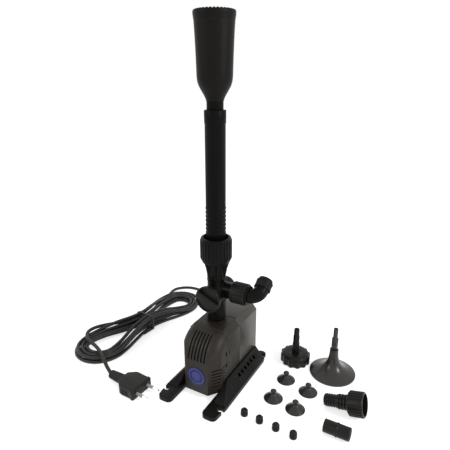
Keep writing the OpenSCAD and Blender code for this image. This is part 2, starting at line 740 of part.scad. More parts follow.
nut_wall_r = nut_r - rib_deep;
throat_z = 184;
throat_lip = 1;
mouth_r = 14.7;
throat_r = sqrt(pow(ball_r + run_fit, 2) - pow(throat_z - ball_z, 2));
crown_bevel = 1.6;
module riser_nut() color(plastic) difference() {
  union() {
    rotate_extrude() polygon([[0, nut_z], [nut_wall_r - crown_bevel, nut_z], [nut_wall_r, nut_z + crown_bevel * 2],
      [nut_wall_r, nut_top - crown_bevel], [nut_wall_r - crown_bevel, nut_top], [0, nut_top]]);
    ribs(26, nut_r, rib_w, nut_z + crown_bevel * 3, nut_top - crown_bevel * 2, 2 * rib_deep);
  }
  disc(nut_z - over, thread_top + loose_fit, hold_r + run_fit);
  difference() {
    translate([0, 0, ball_z]) sphere(r = ball_r + run_fit);
    disc(throat_z, nut_top, nut_r);
  }
  disc(ball_z, throat_z + throat_lip + over, throat_r);
  disc(throat_z + throat_lip, nut_top + over, mouth_r);
}

ball_neck_r = 9.2;
neck_top = 200;
tube_low = 187;
tube_bore = inner_r + run_fit;
ball_cut = 12.5;
module riser_ball() color(plastic) difference() {
  union() {
    translate([0, 0, ball_z]) sphere(r = ball_r);
    disc(ball_z, neck_top, ball_neck_r);
  }
  disc(ball_z - ball_r, neck_top + over, channel_r);
  disc(ball_z - ball_r - over, ball_z - ball_cut, ball_r);
}

rings = 7;
ring_low = 200;
ring_pitch = 5;
ring_h = 1.5;
ring_out = 0.5;
head_len = 14;
module riser_tube() color(plastic) difference() {
  union() {
    disc(tube_low, tube_top, tube_r);
    for (i = [0:rings - 1]) disc(ring_low + i * ring_pitch, ring_low + i * ring_pitch + ring_h, tube_r + ring_out);
    disc(tube_top - head_len, tube_top, tube_r + ring_out);
  }
  disc(tube_low - over, tube_top + over, tube_bore);
}

neck_show = 9;
inner_low = 210;
inner_wall = 1.9;
spigot_h = 8;
nozzle_z = tube_top + neck_show;
module inner_tube() color(plastic) difference() {
  union() {
    disc(inner_low, nozzle_z, inner_r);
    disc(nozzle_z, nozzle_z + spigot_h, inner_r - over);
  }
  disc(inner_low - over, nozzle_z + spigot_h + over, inner_r - inner_wall);
}

// Outline of the nozzle, as shares of its largest radius and of its length
nozzle_shares = [[0.475, 0], [0.52, 0.045], [0.7, 0.125], [0.845, 0.19], [0.93, 0.25], [0.965, 0.32], [0.975, 0.45], [1, 1]];
nozzle_wall = 1.7;
module nozzle_body() color(plastic) difference() {
  translate([0, 0, nozzle_z]) rotate_extrude()
    polygon(concat([[0, 0]], [for (p = nozzle_shares) [p[0] * nozzle_r, p[1] * nozzle_len]], [[0, nozzle_len]]));
  translate([0, 0, nozzle_z]) rotate_extrude() polygon(concat([[0, spigot_h + nozzle_wall]],
    [for (i = [2:len(nozzle_shares) - 1]) [nozzle_shares[i][0] * nozzle_r - nozzle_wall, nozzle_shares[i][1] * nozzle_len + nozzle_wall]],
    [[0, nozzle_len + nozzle_wall]]));
  disc(nozzle_z - over, nozzle_z + spigot_h, inner_r - over + run_fit);
  disc(nozzle_z, nozzle_z + spigot_h + 2 * nozzle_wall, inner_r - inner_wall);
}

crown_r = 22.2;
crown_z = nozzle_z + nozzle_len;
teeth = 36;
tooth_h = 1.2;
shelf_t = 2;
module nozzle_crown() color(plastic) translate([0, 0, crown_z]) {
  difference() {
    rotate_extrude() polygon([[nozzle_r - nozzle_wall, 0], [nozzle_r + shelf_t / 4, 0], [crown_r, crown_len / 2],
      [crown_r, crown_len - tooth_h], [nozzle_r - nozzle_wall, crown_len - tooth_h]]);
  }
  for (i = [0:teeth - 1]) rotate([0, 0, 360 * i / teeth])
    block(crown_r - shelf_t * 1.4, crown_r - shelf_t / 5, -tooth_h / 2, tooth_h / 2, crown_len - 2 * tooth_h, crown_len);
}

plate_dome = 2.5;
jet_r = 0.9;
plate_r = nozzle_r - nozzle_wall;
dome_r = (plate_r * plate_r + plate_dome * plate_dome) / (2 * plate_dome);
module spray_plate() color(plastic) translate([0, 0, crown_z + crown_len - tooth_h]) difference() {
  intersection() {
    translate([0, 0, plate_dome - dome_r]) sphere(r = dome_r, $fn = 96);
    disc(-shelf_t, plate_dome + over, plate_r);
  }
  translate([0, 0, plate_dome - dome_r - shelf_t]) sphere(r = dome_r, $fn = 96);
  for (k = [1:3], i = [0:6 * k - 1]) rotate([0, 0, 360 * i / (6 * k)])
    translate([k * plate_r / 3.6, 0, 0]) disc(-shelf_t * 2, plate_dome + over, jet_r);
}

// Cord: its free stretches follow chosen points, its hank is worked out
cord_r = cord_d / 2;
run_points = [[0, 84, 17], [0, 92, 16.6], [-2, 104, 13.5], [-8, 118, 7.5], [-18, 132, 3.4], [-32, 145, 2.5],
  [-50, 157, 2.5], [-70, 167, 2.5], [-92, 175, 2.5], [-114, 182, 2.5], [-134, 187, 2.5], [-152, 190, 2.5],
  [-168, 189, 2.5], [-181, 182, 2.5], [-189.5, 171, 2.5], [-189.8, 158, 2.5], [-186.6, 146, 2.5]];
lead_points = [[-173.6, 36, 14.9], [-178, 28.2, 14.6], [-182.6, 21.5, 14.2], [-190, 13, 13.9], [-198.4, 4, 13.6], [-205.2, -5.5, 13.8],
  [-209, -17, 14.3], [-207, -28.5, 14.8], [-198.5, -37.5, 14.6], [-187, -42.5, 14.1], [-175, -46, 13.9], [-164, -50, 13.9],
  [-154, -55, 13.9], [-145, -60, 13.4], [-136.5, -65, 11.6], [-128, -69.5, 9]];
hank_x = -158;
hank_y = 45;
hank_turn = -6;
hank_lean = 9;
lobe_step = 6.3;
waist_step = 3.7;
waist_gap = 3;
row_step = 5.6;
tie_t = 0.9;
tie_gap = 0.3;
rear_y = hank_rear - hank_slim;
front_y = hank_front - hank_wide;
turn_loops = hank_loops / 2;
waist_w = waist_gap + turn_loops * waist_step;
// Where along one loop each stretch ends: left run, front lobe, right run, rear lobe
loop_shares = [0.3, 0.51, 0.81, 1];
loop_rings = 24;

function part_of(t, a, b) = (t - a) / (b - a);
function spread(y) = (1 - cos(180 * min(1, abs(y) / (y > 0 ? rear_y : front_y)))) / 2;
function drawn(i, y) = let (f = spread(y), lobe = (y > 0 ? hank_slim : hank_wide) - i * lobe_step, waist = waist_w - i * waist_step)
  waist + (lobe - waist) * f;
function inset_of(u) = min(u, hank_loops - u);
function raise(u, y) = let (k = floor(u), up = 1 - pow(spread(y), 2), odd = k % 2)
  k < 3 ? odd * up * row_step
  : k == 3 && y > 0 && u - k < loop_shares[0] ? up * row_step
  : k == 3 && u - k < loop_shares[0] ? row_step
  : row_step + up * row_step * (1 + odd);
function leaned(p) = [p[0] - (p[1] < 0 ? hank_lean * spread(max(p[1], -front_y)) : 0), p[1]];
function loop_point(u) = leaned(flat_point(u));
function flat_point(u) = let (t = u - floor(u), i = inset_of(u), s = loop_shares)
  t < s[0] ? let (y = rear_y - (rear_y + front_y) * part_of(t, 0, s[0])) [-drawn(i, y), y]
  : t < s[1] ? let (a = 180 + 180 * part_of(t, s[0], s[1]), r = hank_wide - i * lobe_step) [r * cos(a), -front_y + r * sin(a)]
  : t < s[2] ? let (y = (rear_y + front_y) * part_of(t, s[1], s[2]) - front_y) [drawn(i, y), y]
  : let (a = 180 * part_of(t, s[2], s[3]), r = hank_slim - i * lobe_step) [r * cos(a), rear_y + r * sin(a)];
function on_run(u) = let (t = u - floor(u)) t < loop_shares[0] || (t >= loop_shares[1] && t < loop_shares[2]);
function hank_at(u) = let (p = loop_point(u), y = p[1], z = cord_r + tie_t + tie_gap + (on_run(u) ? raise(u, y) : raise(u, rear_y)))
  [p[0], y, z - (tie_t + tie_gap) * spread(on_run(u) ? y : rear_y)];
function placed(p) = [hank_x + p[0] * cos(hank_turn) - p[1] * sin(hank_turn),
  hank_y + p[0] * sin(hank_turn) + p[1] * cos(hank_turn), p[2]];
hank_count = round(hank_loops * loop_rings);
hank_core = [for (i = [0:hank_count]) hank_at(hank_loops * i / hank_count)];
function pushed(a, b, d) = a + (a - b) / norm(a - b) * d;
hank_local = concat([pushed(hank_core[0], hank_core[1], cord_d)], hank_core,
  [pushed(hank_core[hank_count], hank_core[hank_count - 1], cord_d)]);
hank_path = [for (p = hank_local) placed(p)];

function blend(a, b, c, d, t) = 0.5 * (2 * b + (c - a) * t + (2 * a - 5 * b + 4 * c - d) * t * t + (3 * b - a - 3 * c + d) * t * t * t);
function smooth(p, n) = concat([for (i = [0:len(p) - 2]) for (j = [0:n - 1])
  blend(p[max(i - 1, 0)], p[i], p[i + 1], p[min(i + 2, len(p) - 1)], j / n)], [p[len(p) - 1]]);
function heading(p, i) = let (a = p[max(i - 1, 0)], b = p[min(i + 1, len(p) - 1)]) (b - a) / norm(b - a);
function ring_at(p, t, r, n) = let (c = cross(t, [0, 0, 1]), sx = c / norm(c), sz = cross(sx, t))
  [for (k = [0:n - 1]) p + r * (cos(360 * (k + 0.5) / n) * sx + sin(360 * (k + 0.5) / n) * sz)];
function length_of(p) = sum_up([for (i = [1:len(p) - 1]) norm(p[i] - p[i - 1])], 0);
function sum_up(v, i) = i >= len(v) ? 0 : v[i] + sum_up(v, i + 1);

module tube_along(p, r, n) {
  m = len(p);
  polyhedron(points = [for (i = [0:m - 1]) for (q = ring_at(p[i], heading(p, i), r, n)) q],
    faces = concat([for (k = [1:n - 2]) [0, k, k + 1]],
      [for (i = [0:m - 2]) for (k = [0:n - 1]) let (a = i * n + k, b = i * n + (k + 1) % n) [a, a + n, b]],
      [for (i = [0:m - 2]) for (k = [0:n - 1]) let (a = i * n + k, b = i * n + (k + 1) % n) [b, a + n, b + n]],
      [for (k = [1:n - 2]) [(m - 1) * n, (m - 1) * n + k + 1, (m - 1) * n + k]]));
}

// Least distance between stretches of the hank that are more than half a loop apart, less the cord
hank_gap = min([for (i = [0:len(hank_path) - 14]) min([for (j = [i + 13:len(hank_path) - 1])
  between(hank_path, i, j)])]) - cord_d;
function between(p, i, j) = j + 1 >= len(p) ? norm(p[i] - p[j]) : let (d = p[j + 1] - p[j],
  t = max(0, min(1, ((p[i] - p[j]) * d) / (d * d)))) norm(p[i] - p[j] - t * d);
plug_x = -62;
plug_y = -77.5;
plug_turn = -3;
plug_neck_end = [plug_x - plug_len * cos(plug_turn), plug_y - plug_len * sin(plug_turn), plug_t / 2];
run_path = smooth(concat(run_points, [hank_path[0]]), 2);
lead_path = smooth(concat([hank_path[len(hank_path) - 1]], lead_points, [plug_neck_end]), 2);
echo(hank_gap = hank_gap, hank_length = length_of(hank_path), run_length = length_of(run_path), lead_length = length_of(lead_path));
module cord_run() color(rubber_shade) tube_along(run_path, cord_r, 8);
module cord_hank() color(rubber_shade) tube_along(hank_path, cord_r, 6);
module cord_lead() color(rubber_shade) tube_along(lead_path, cord_r, 8);

tie_w = 3;
tie_len = 21;
tie_y = 0;
bundle_w = 2 * (waist_w + cord_r + tie_gap);
bundle_h = 3 * row_step + cord_d + 2 * tie_gap;
module cord_tie() color("#242322") translate([hank_x, hank_y, 0]) rotate([0, 0, hank_turn]) {
  difference() {
    block(-bundle_w / 2 - tie_t, bundle_w / 2 + tie_t, tie_y - tie_w / 2, tie_y + tie_w / 2, 0, bundle_h + 2 * tie_t);
    block(-bundle_w / 2, bundle_w / 2, tie_y - tie_w, tie_y + tie_w, tie_t, bundle_h + tie_t);
  }
  block(bundle_w / 2, bundle_w / 2 + tie_t, tie_y - tie_len, tie_y, 0, tie_w);
}

plug_flat = 22;
neck_w = 11;
pin_r = 2;
pin_len = 19;
sleeve_len = 10;
pin_sleeve_r = 1.9;
shade_r = 2.3;
module in_plug() { translate([plug_x, plug_y, plug_t / 2]) rotate([0, 0, plug_turn]) children(); }
module plug_body() color(rubber_shade) in_plug() difference() {
  union() {
    translate([0, 0, -plug_t / 2]) linear_extrude(height = plug_t) polygon([[0, -plug_w / 2], [0, plug_w / 2],
      [-plug_flat, plug_w / 2], [-plug_flat - neck_w, neck_w / 2 + pin_r], [-plug_flat - neck_w, -neck_w / 2 - pin_r], [-plug_flat, -plug_w / 2]]);
    along_x(-plug_flat - neck_w - pin_r, 0, 0) cylinder(h = pin_r * 2, r = neck_w / 2 + pin_r);
    along_x(-plug_len, 0, 0) cylinder(h = plug_len - plug_flat, r1 = neck_w / 2, r2 = neck_w / 2 + pin_r);
  }
  rod_x(-plug_len - over, -plug_len + neck_w, 0, 0, cord_r);
  for (s = [-1, 1]) rod_x(-neck_w, over, s * pin_gap / 2, 0, pin_r);
}
module plug_pins() color(brass_shade) in_plug() for (s = [-1, 1]) {
  rod_x(-neck_w, pin_len - pin_r / 2, s * pin_gap / 2, 0, pin_r - tie_gap);
  along_x(pin_len - pin_r / 2, s * pin_gap / 2, 0) cylinder(h = pin_r / 2, r1 = pin_r - tie_gap, r2 = pin_r / 2);
}
module pin_sleeves() color("#8d8a84") in_plug() for (s = [-1, 1]) difference() {
  rod_x(-neck_w, sleeve_len, s * pin_gap / 2, 0, pin_r);
  rod_x(-neck_w - over, sleeve_len + over, s * pin_gap / 2, 0, pin_r - tie_gap);
}

cap_x = 79.5;
cap_y = 80.5;
cap_top_t = 3;
cap_wall = 2.6;
scallops = 12;
lobe_out = 1.4;
stem_wide = 4.7;
stem_slim = 3.7;
stem_bore = 2;
module waterfall_cap() color(plastic) translate([cap_x, cap_y, 0]) difference() {
  union() {
    disc(0, cap_h, cap_r - lobe_out / 2);
    for (i = [0:scallops - 1]) rotate([0, 0, 360 * i / scallops]) translate([cap_r - 2 * lobe_out, 0, 0])
      disc(0, cap_h - cap_top_t, 2.2 * lobe_out);
  }
  disc(-over, cap_h - cap_top_t, cap_r - cap_wall - lobe_out);
  disc(0, cap_h + over, stem_wide);
}
module cap_stem() color(plastic) translate([cap_x, cap_y, 0]) difference() {
  union() {
    disc(cap_h - cap_top_t, stem_h * 0.58, stem_wide);
    disc(cap_h, stem_h * 0.8, stem_wide - over / 2);
    disc(cap_h, stem_h, stem_slim);
  }
  disc(0, stem_h + over, stem_bore);
}

bell_x = 132;
bell_y = 80;
// Outline of the trumpet, as shares of its radius and of its height
bell_shares = [[1, 0], [1, 0.025], [0.86, 0.05], [0.66, 0.088], [0.47, 0.145], [0.32, 0.225], [0.235, 0.32], [0.195, 0.42], [0.186, 0.54]];
bell_wall = 1.6;
bell_mid = 4.15;
bell_slim = 2.9;
module trumpet_nozzle() color(plastic) translate([bell_x, bell_y, 0]) rotate_extrude() polygon(concat(
  [for (p = bell_shares) [p[0] * bell_r, p[1] * bell_h]],
  [for (i = [len(bell_shares) - 1:-1:1]) let (p = bell_shares[i]) [max(p[0] * bell_r - bell_wall, bell_slim - bell_wall / 2), p[1] * bell_h - (i < 5 ? bell_wall : 0)]]));
module trumpet_stem() color(plastic) translate([bell_x, bell_y, bell_h * bell_shares[8][1]]) difference() {
  union() {
    disc(0, bell_h * 0.26, bell_mid);
    disc(0, bell_h * 0.46, bell_slim);
  }
  disc(-over, bell_h, bell_slim - bell_wall / 2);
}

cup_places = [[84, 35], [116.5, 27], [83, -4.5], [113, -9]];
cup_neck = 3.4;
cup_knob_z = 7.5;
cup_lip = 1;
module suction_cups() color(rubber_shade) for (c = cup_places) translate([c[0], c[1], 0]) rotate_extrude()
  polygon(concat([[cup_r - cup_lip, 0], [cup_r, cup_lip / 2], [cup_r - cup_lip, cup_lip * 1.6], [cup_neck + cup_lip, cup_knob_z - cup_lip],
    [cup_neck, cup_knob_z], [cup_neck * 0.85, cup_knob_z + cup_lip]], [[cup_neck + cup_lip / 3, cup_h - cup_lip * 2], [cup_neck + cup_lip / 3, cup_h - cup_lip]],
    [[cup_neck * 0.7, cup_h], [0, cup_h], [0, cup_knob_z - 2 * cup_lip], [cup_neck, cup_knob_z - 3 * cup_lip]]));

bung_places = [[64.5, -46.5], [84.5, -48], [105, -49], [126, -50]];
bung_waist = 0.8;
module rubber_plugs() color(rubber_shade) for (c = bung_places) translate([c[0], c[1], 0]) rotate_extrude()
  polygon([[0, 0], [bung_r - bung_waist / 2, 0], [bung_r, bung_waist], [bung_r, bung_h * 0.36], [bung_r - bung_waist, bung_h * 0.45],
    [bung_r - bung_waist, bung_h * 0.6], [bung_r, bung_h * 0.68], [bung_r - bung_waist, bung_h * 0.92], [bung_r - 2 * bung_waist, bung_h], [0, bung_h]]);

tail_x = 141;
tail_y = 16.5;
tip_len = 15;
step_len = 14;
tail_nut_len = 18;
tail_bore = 5.2;
tail_flange_t = 2.5;
tail_nut_bore = 12.2;
tail_span = tip_len + step_len;
tail_tilt = asin((tail_nut_r - tail_tip_r) / tail_span);
module on_tail() { translate([tail_x, tail_y, tail_tip_r * cos(tail_tilt)]) rotate([0, -tail_tilt, 0]) children(); }
module hose_tail() color(plastic) on_tail() difference() {
  union() {
    rod_x(0, tip_len, 0, 0, tail_tip_r - barb_out);
    rod_x(tip_len, tail_span + tail_flange_t, 0, 0, tail_r - barb_out);
    for (i = [0:4]) along_x(i * tip_len / 5, 0, 0) cylinder(h = tip_len / 6, r1 = tail_tip_r - barb_out, r2 = tail_tip_r);
    for (i = [0:3]) along_x(tip_len + i * step_len / 4, 0, 0) cylinder(h = step_len / 5, r1 = tail_r - barb_out, r2 = tail_r);
    rod_x(tail_span + tail_flange_t, tail_span + 2 * tail_flange_t, 0, 0, tail_nut_bore - loose_fit);
  }
  rod_x(-over, tail_span + 3 * tail_flange_t, 0, 0, tail_bore);
}
barb_out = 0.6;
module tail_nut() color(plastic) on_tail() difference() {
  union() {
    rod_x(tail_span, tail_span + tail_nut_len, 0, 0, tail_nut_r - rib_deep);
    rotate([0, 90, 0]) ribs(24, tail_nut_r, rib_w, tail_span + rib_deep, tail_span + tail_nut_len - rib_deep, 2 * rib_deep);
  }
  rod_x(tail_span - over, tail_span + tail_flange_t + over, 0, 0, tail_r - barb_out + run_fit);
  rod_x(tail_span + tail_flange_t, tail_span + tail_nut_len + over, 0, 0, tail_nut_bore);
}

joiner_x = 152;
joiner_y = -24;
joiner_bore = 5.6;
joiner_ridge = 0.6;
module straight_connector() color(plastic) difference() {
  union() {
    rod_x(joiner_x, joiner_x + joiner_len, joiner_y, joiner_r + joiner_ridge, joiner_r);
    rod_x(joiner_x + joiner_len * 0.47, joiner_x + joiner_len * 0.53, joiner_y, joiner_r + joiner_ridge, joiner_r + joiner_ridge);
  }
  rod_x(joiner_x - over, joiner_x + joiner_len + over, joiner_y, joiner_r + joiner_ridge, joiner_bore);
}

front_cage();
badge();
filter_foam();
middle_housing();
rear_housing();
base_screws();
base_plate();
right_rail();
left_rail();
pump_chamber();
chamber_cover();
front_bush();
rear_bush();
ceramic_shaft();
rotor_magnet();
impeller();
chamber_seal();
chamber_screws();
stator_core();
coil_bobbins();
coil_windings();
motor_block();
cord_gland();
outlet_collar();
tee_body();
valve_cap();
valve_seal();
valve_plug();
valve_knob();
side_nut();
side_washer();
elbow();
elbow_collar();
riser_adapter();
ball_seal();
riser_nut();
riser_ball();
riser_tube();
inner_tube();
nozzle_body();
nozzle_crown();
spray_plate();
cord_run();
cord_hank();
cord_lead();
cord_tie();
plug_body();
plug_pins();
pin_sleeves();
waterfall_cap();
cap_stem();
trumpet_nozzle();
trumpet_stem();
suction_cups();
rubber_plugs();
hose_tail();
tail_nut();
straight_connector();
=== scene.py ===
import math

import bpy
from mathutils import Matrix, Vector


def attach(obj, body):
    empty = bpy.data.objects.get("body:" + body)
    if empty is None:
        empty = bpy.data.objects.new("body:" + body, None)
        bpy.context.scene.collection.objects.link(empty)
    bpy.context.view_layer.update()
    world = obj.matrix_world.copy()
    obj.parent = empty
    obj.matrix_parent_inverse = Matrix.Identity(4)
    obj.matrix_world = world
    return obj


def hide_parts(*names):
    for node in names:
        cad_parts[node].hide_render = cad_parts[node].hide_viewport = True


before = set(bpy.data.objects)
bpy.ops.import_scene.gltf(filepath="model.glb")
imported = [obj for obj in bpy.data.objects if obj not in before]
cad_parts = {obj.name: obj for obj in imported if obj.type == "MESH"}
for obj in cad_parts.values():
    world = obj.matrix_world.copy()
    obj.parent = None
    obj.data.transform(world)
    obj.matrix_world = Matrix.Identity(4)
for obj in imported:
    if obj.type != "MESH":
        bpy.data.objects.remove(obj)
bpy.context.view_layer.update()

# The studio: a white floor that keeps the pump's soft shadow, a white surround, one broad
# lamp from the right and a weaker one from the left, and the camera, at table height and
# to the pump's right, looking a little down at the whole kit.
mm = 0.001
camera_at = (239.5, -401.6, 365.0)
camera_heading = 29.5
camera_down = 18.4
camera_lens = 33.6
floor_size = 8.0
key_power, fill_power = 8.0, 3.0
surround_seen, surround_light = 1.0, 0.55
floor_paint, floor_glow = 0.86, 0.62

bpy.ops.object.select_all(action="DESELECT")
bpy.ops.object.camera_add(
    location=[v * mm for v in camera_at],
    rotation=(math.radians(90 - camera_down), 0, math.radians(camera_heading)))
camera = bpy.context.object
camera.data.lens = camera_lens
camera.data.sensor_width = 36
bpy.context.scene.camera = camera
bpy.context.scene.view_settings.view_transform = "Standard"


def add_lamp(name, place, size, power):
    """A square soft lamp, aimed at the middle of the pump."""
    bpy.ops.object.light_add(type="AREA", location=place)
    lamp = bpy.context.object
    lamp.name = name
    lamp.data.size = size
    lamp.data.energy = power
    aim = Vector((0, 0, 0.15)) - Vector(place)
    lamp.rotation_euler = aim.to_track_quat("-Z", "Y").to_euler()


add_lamp("key_lamp", (1.25, -0.05, 0.75), 0.3, key_power)
add_lamp("fill_lamp", (-0.75, -1.0, 0.8), 0.25, fill_power)

surround = bpy.data.worlds.new("surround")
bpy.context.scene.world = surround
surround.use_nodes = True
nodes, links = surround.node_tree.nodes, surround.node_tree.links
seen = nodes.new("ShaderNodeLightPath")
either = nodes.new("ShaderNodeMath")
either.operation = "MAXIMUM"
links.new(seen.outputs["Is Camera Ray"], either.inputs[0])
links.new(seen.outputs["Is Transmission Ray"], either.inputs[1])
any_of = nodes.new("ShaderNodeMath")
any_of.operation = "MAXIMUM"
links.new(either.outputs[0], any_of.inputs[0])
links.new(seen.outputs["Is Glossy Ray"], any_of.inputs[1])
strength = nodes.new("ShaderNodeMapRange")
strength.inputs["To Min"].default_value = surround_light
strength.inputs["To Max"].default_value = surround_seen
links.new(any_of.outputs[0], strength.inputs["Value"])
links.new(strength.outputs[0], nodes["Background"].inputs["Strength"])
nodes["Background"].inputs["Color"].default_value = (1, 1, 1, 1)

bpy.ops.mesh.primitive_plane_add(size=floor_size)
floor = bpy.context.object
floor.name = "floor"
floor_white = bpy.data.materials.new("floor_white")
floor_white.use_nodes = True
nodes, links = floor_white.node_tree.nodes, floor_white.node_tree.links
nodes.clear()
paint = nodes.new("ShaderNodeBsdfDiffuse")
paint.inputs["Color"].default_value = (floor_paint, floor_paint, floor_paint, 1)
seen = nodes.new("ShaderNodeLightPath")
glow = nodes.new("ShaderNodeEmission")
lift = nodes.new("ShaderNodeMath")
lift.operation = "MULTIPLY"
lift.inputs[1].default_value = floor_glow
both = nodes.new("ShaderNodeAddShader")
result = nodes.new("ShaderNodeOutputMaterial")
either = nodes.new("ShaderNodeMath")
either.operation = "MAXIMUM"
links.new(seen.outputs["Is Camera Ray"], either.inputs[0])
links.new(seen.outputs["Is Glossy Ray"], either.inputs[1])
links.new(either.outputs[0], lift.inputs[0])
links.new(lift.outputs[0], glow.inputs["Strength"])
links.new(paint.outputs[0], both.inputs[0])
links.new(glow.outputs[0], both.inputs[1])
links.new(both.outputs[0], result.inputs["Surface"])
floor.data.materials.append(floor_white)


# The foot plate: the moulded slab under the housing that the rails grow out of, held to the
# housing by four short screws from below.
def socketed(group, side, name, kind, value=None):
    """Adds a socket to a group of material nodes."""
    socket = group.interface.new_socket(name=name, in_out=side, socket_type=kind)
    if value is not None:
        socket.default_value = value


def make_grain_group():
    """Mottled colour, uneven gloss and a fine leather-like relief over a moulding."""
    group = bpy.data.node_groups.new("mould_grain", "ShaderNodeTree")
    socketed(group, "INPUT", "Color", "NodeSocketColor")
    socketed(group, "INPUT", "Dust", "NodeSocketColor")
    socketed(group, "INPUT", "Mottle", "NodeSocketFloat", 0.2)
    socketed(group, "INPUT", "Roughness", "NodeSocketFloat", 0.45)
    socketed(group, "INPUT", "Scale", "NodeSocketFloat", 900.0)
    socketed(group, "OUTPUT", "Color", "NodeSocketColor")
    socketed(group, "OUTPUT", "Roughness", "NodeSocketFloat")
    socketed(group, "OUTPUT", "Height", "NodeSocketFloat")
    nodes, links = group.nodes, group.links
    given = nodes.new("NodeGroupInput")
    out = nodes.new("NodeGroupOutput")
    place = nodes.new("ShaderNodeTexCoord")
    cloud = nodes.new("ShaderNodeTexNoise")
    cloud.inputs["Scale"].default_value = 38
    cloud.inputs["Detail"].default_value = 6
    cloud.inputs["Roughness"].default_value = 0.62
    links.new(place.outputs["Object"], cloud.inputs["Vector"])
    amount = nodes.new("ShaderNodeMath")
    amount.operation = "MULTIPLY"
    links.new(cloud.outputs["Fac"], amount.inputs[0])
    links.new(given.outputs["Mottle"], amount.inputs[1])
    colour = nodes.new("ShaderNodeMix")
    colour.data_type = "RGBA"
    links.new(amount.outputs[0], colour.inputs["Factor"])
    links.new(given.outputs["Color"], colour.inputs["A"])
    links.new(given.outputs["Dust"], colour.inputs["B"])
    links.new(colour.outputs["Result"], out.inputs["Color"])
    gloss = nodes.new("ShaderNodeMath")
    gloss.operation = "MULTIPLY_ADD"
    gloss.inputs[1].default_value = 0.16
    links.new(cloud.outputs["Fac"], gloss.inputs[0])
    links.new(given.outputs["Roughness"], gloss.inputs[2])
    links.new(gloss.outputs[0], out.inputs["Roughness"])
    pits = nodes.new("ShaderNodeTexVoronoi")
    pits.feature = "SMOOTH_F1"
    links.new(place.outputs["Object"], pits.inputs["Vector"])
    links.new(given.outputs["Scale"], pits.inputs["Scale"])
    links.new(pits.outputs["Distance"], out.inputs["Height"])
    return group


def make_edge_highlight_group():
    """Painted edge highlight: paler where the rounded surface turns from the flat one, in patches."""
    group = bpy.data.node_groups.new("painted_edge_highlight", "ShaderNodeTree")
    socketed(group, "INPUT", "Color", "NodeSocketColor")
    socketed(group, "INPUT", "Highlight", "NodeSocketColor")
    socketed(group, "INPUT", "Amount", "NodeSocketFloat", 0.5)
    socketed(group, "OUTPUT", "Color", "NodeSocketColor")
    nodes, links = group.nodes, group.links
    given = nodes.new("NodeGroupInput")
    out = nodes.new("NodeGroupOutput")
    shape = nodes.new("ShaderNodeNewGeometry")
    rounded = nodes.new("ShaderNodeBevel")
    rounded.samples = 4
    rounded.inputs["Radius"].default_value = 0.0007
    same = nodes.new("ShaderNodeVectorMath")
    same.operation = "DOT_PRODUCT"
    links.new(shape.outputs["Normal"], same.inputs[0])
    links.new(rounded.outputs["Normal"], same.inputs[1])
    proud = nodes.new("ShaderNodeMapRange")
    proud.inputs["From Min"].default_value = 0.995
    proud.inputs["From Max"].default_value = 0.9
    links.new(same.outputs["Value"], proud.inputs["Value"])
    place = nodes.new("ShaderNodeTexCoord")
    patchy = nodes.new("ShaderNodeTexNoise")
    patchy.inputs["Scale"].default_value = 160
    patchy.inputs["Detail"].default_value = 4
    links.new(place.outputs["Object"], patchy.inputs["Vector"])
    patchy_highlight = nodes.new("ShaderNodeMath")
    patchy_highlight.operation = "MULTIPLY"
    links.new(proud.outputs[0], patchy_highlight.inputs[0])
    links.new(patchy.outputs["Fac"], patchy_highlight.inputs[1])
    share = nodes.new("ShaderNodeMath")
    share.operation = "MULTIPLY"
    share.use_clamp = True
    links.new(patchy_highlight.outputs[0], share.inputs[0])
    links.new(given.outputs["Amount"], share.inputs[1])
    colour = nodes.new("ShaderNodeMix")
    colour.data_type = "RGBA"
    links.new(share.outputs[0], colour.inputs["Factor"])
    links.new(given.outputs["Color"], colour.inputs["A"])
    links.new(given.outputs["Highlight"], colour.inputs["B"])
    links.new(colour.outputs["Result"], out.inputs["Color"])
    return group


mould_grain = make_grain_group()
# The painted edge highlight: rounded edges are mixed towards a paler colour that stands in for the light
# they catch.
painted_edge_highlight = make_edge_highlight_group()


def moulded(name, colour, dust_and_highlight, roughness=0.42, mottle=0.25, grain=900, relief=0.05, edge_highlight=0.5, shine=0.15):
    """Injection-moulded plastic or rubber."""
    finish = bpy.data.materials.new(name)
    finish.use_nodes = True
    nodes, links = finish.node_tree.nodes, finish.node_tree.links
    surface = nodes["Principled BSDF"]
    skin = nodes.new("ShaderNodeGroup")
    skin.node_tree = mould_grain
    skin.inputs["Color"].default_value = (*colour, 1)
    skin.inputs["Dust"].default_value = (*dust_and_highlight, 1)
    skin.inputs["Mottle"].default_value = mottle
    skin.inputs["Roughness"].default_value = roughness
    skin.inputs["Scale"].default_value = grain
    # Painted edge highlight: the rounded edges take a paler colour made from the dust colour, standing in
    # for light along them.
    corners = nodes.new("ShaderNodeGroup")
    corners.node_tree = painted_edge_highlight
    corners.inputs["Highlight"].default_value = (*[min(1, 0.01 + 1.6 * v) for v in dust_and_highlight], 1)
    corners.inputs["Amount"].default_value = edge_highlight
    relief_node = nodes.new("ShaderNodeBump")
    relief_node.inputs["Strength"].default_value = relief
    relief_node.inputs["Distance"].default_value = 0.0002
    links.new(skin.outputs["Color"], corners.inputs["Color"])
    links.new(corners.outputs["Color"], surface.inputs["Base Color"])
    links.new(skin.outputs["Roughness"], surface.inputs["Roughness"])
    links.new(skin.outputs["Height"], relief_node.inputs["Height"])
    links.new(relief_node.outputs["Normal"], surface.inputs["Normal"])
    surface.inputs["Specular IOR Level"].default_value = shine
    return finish


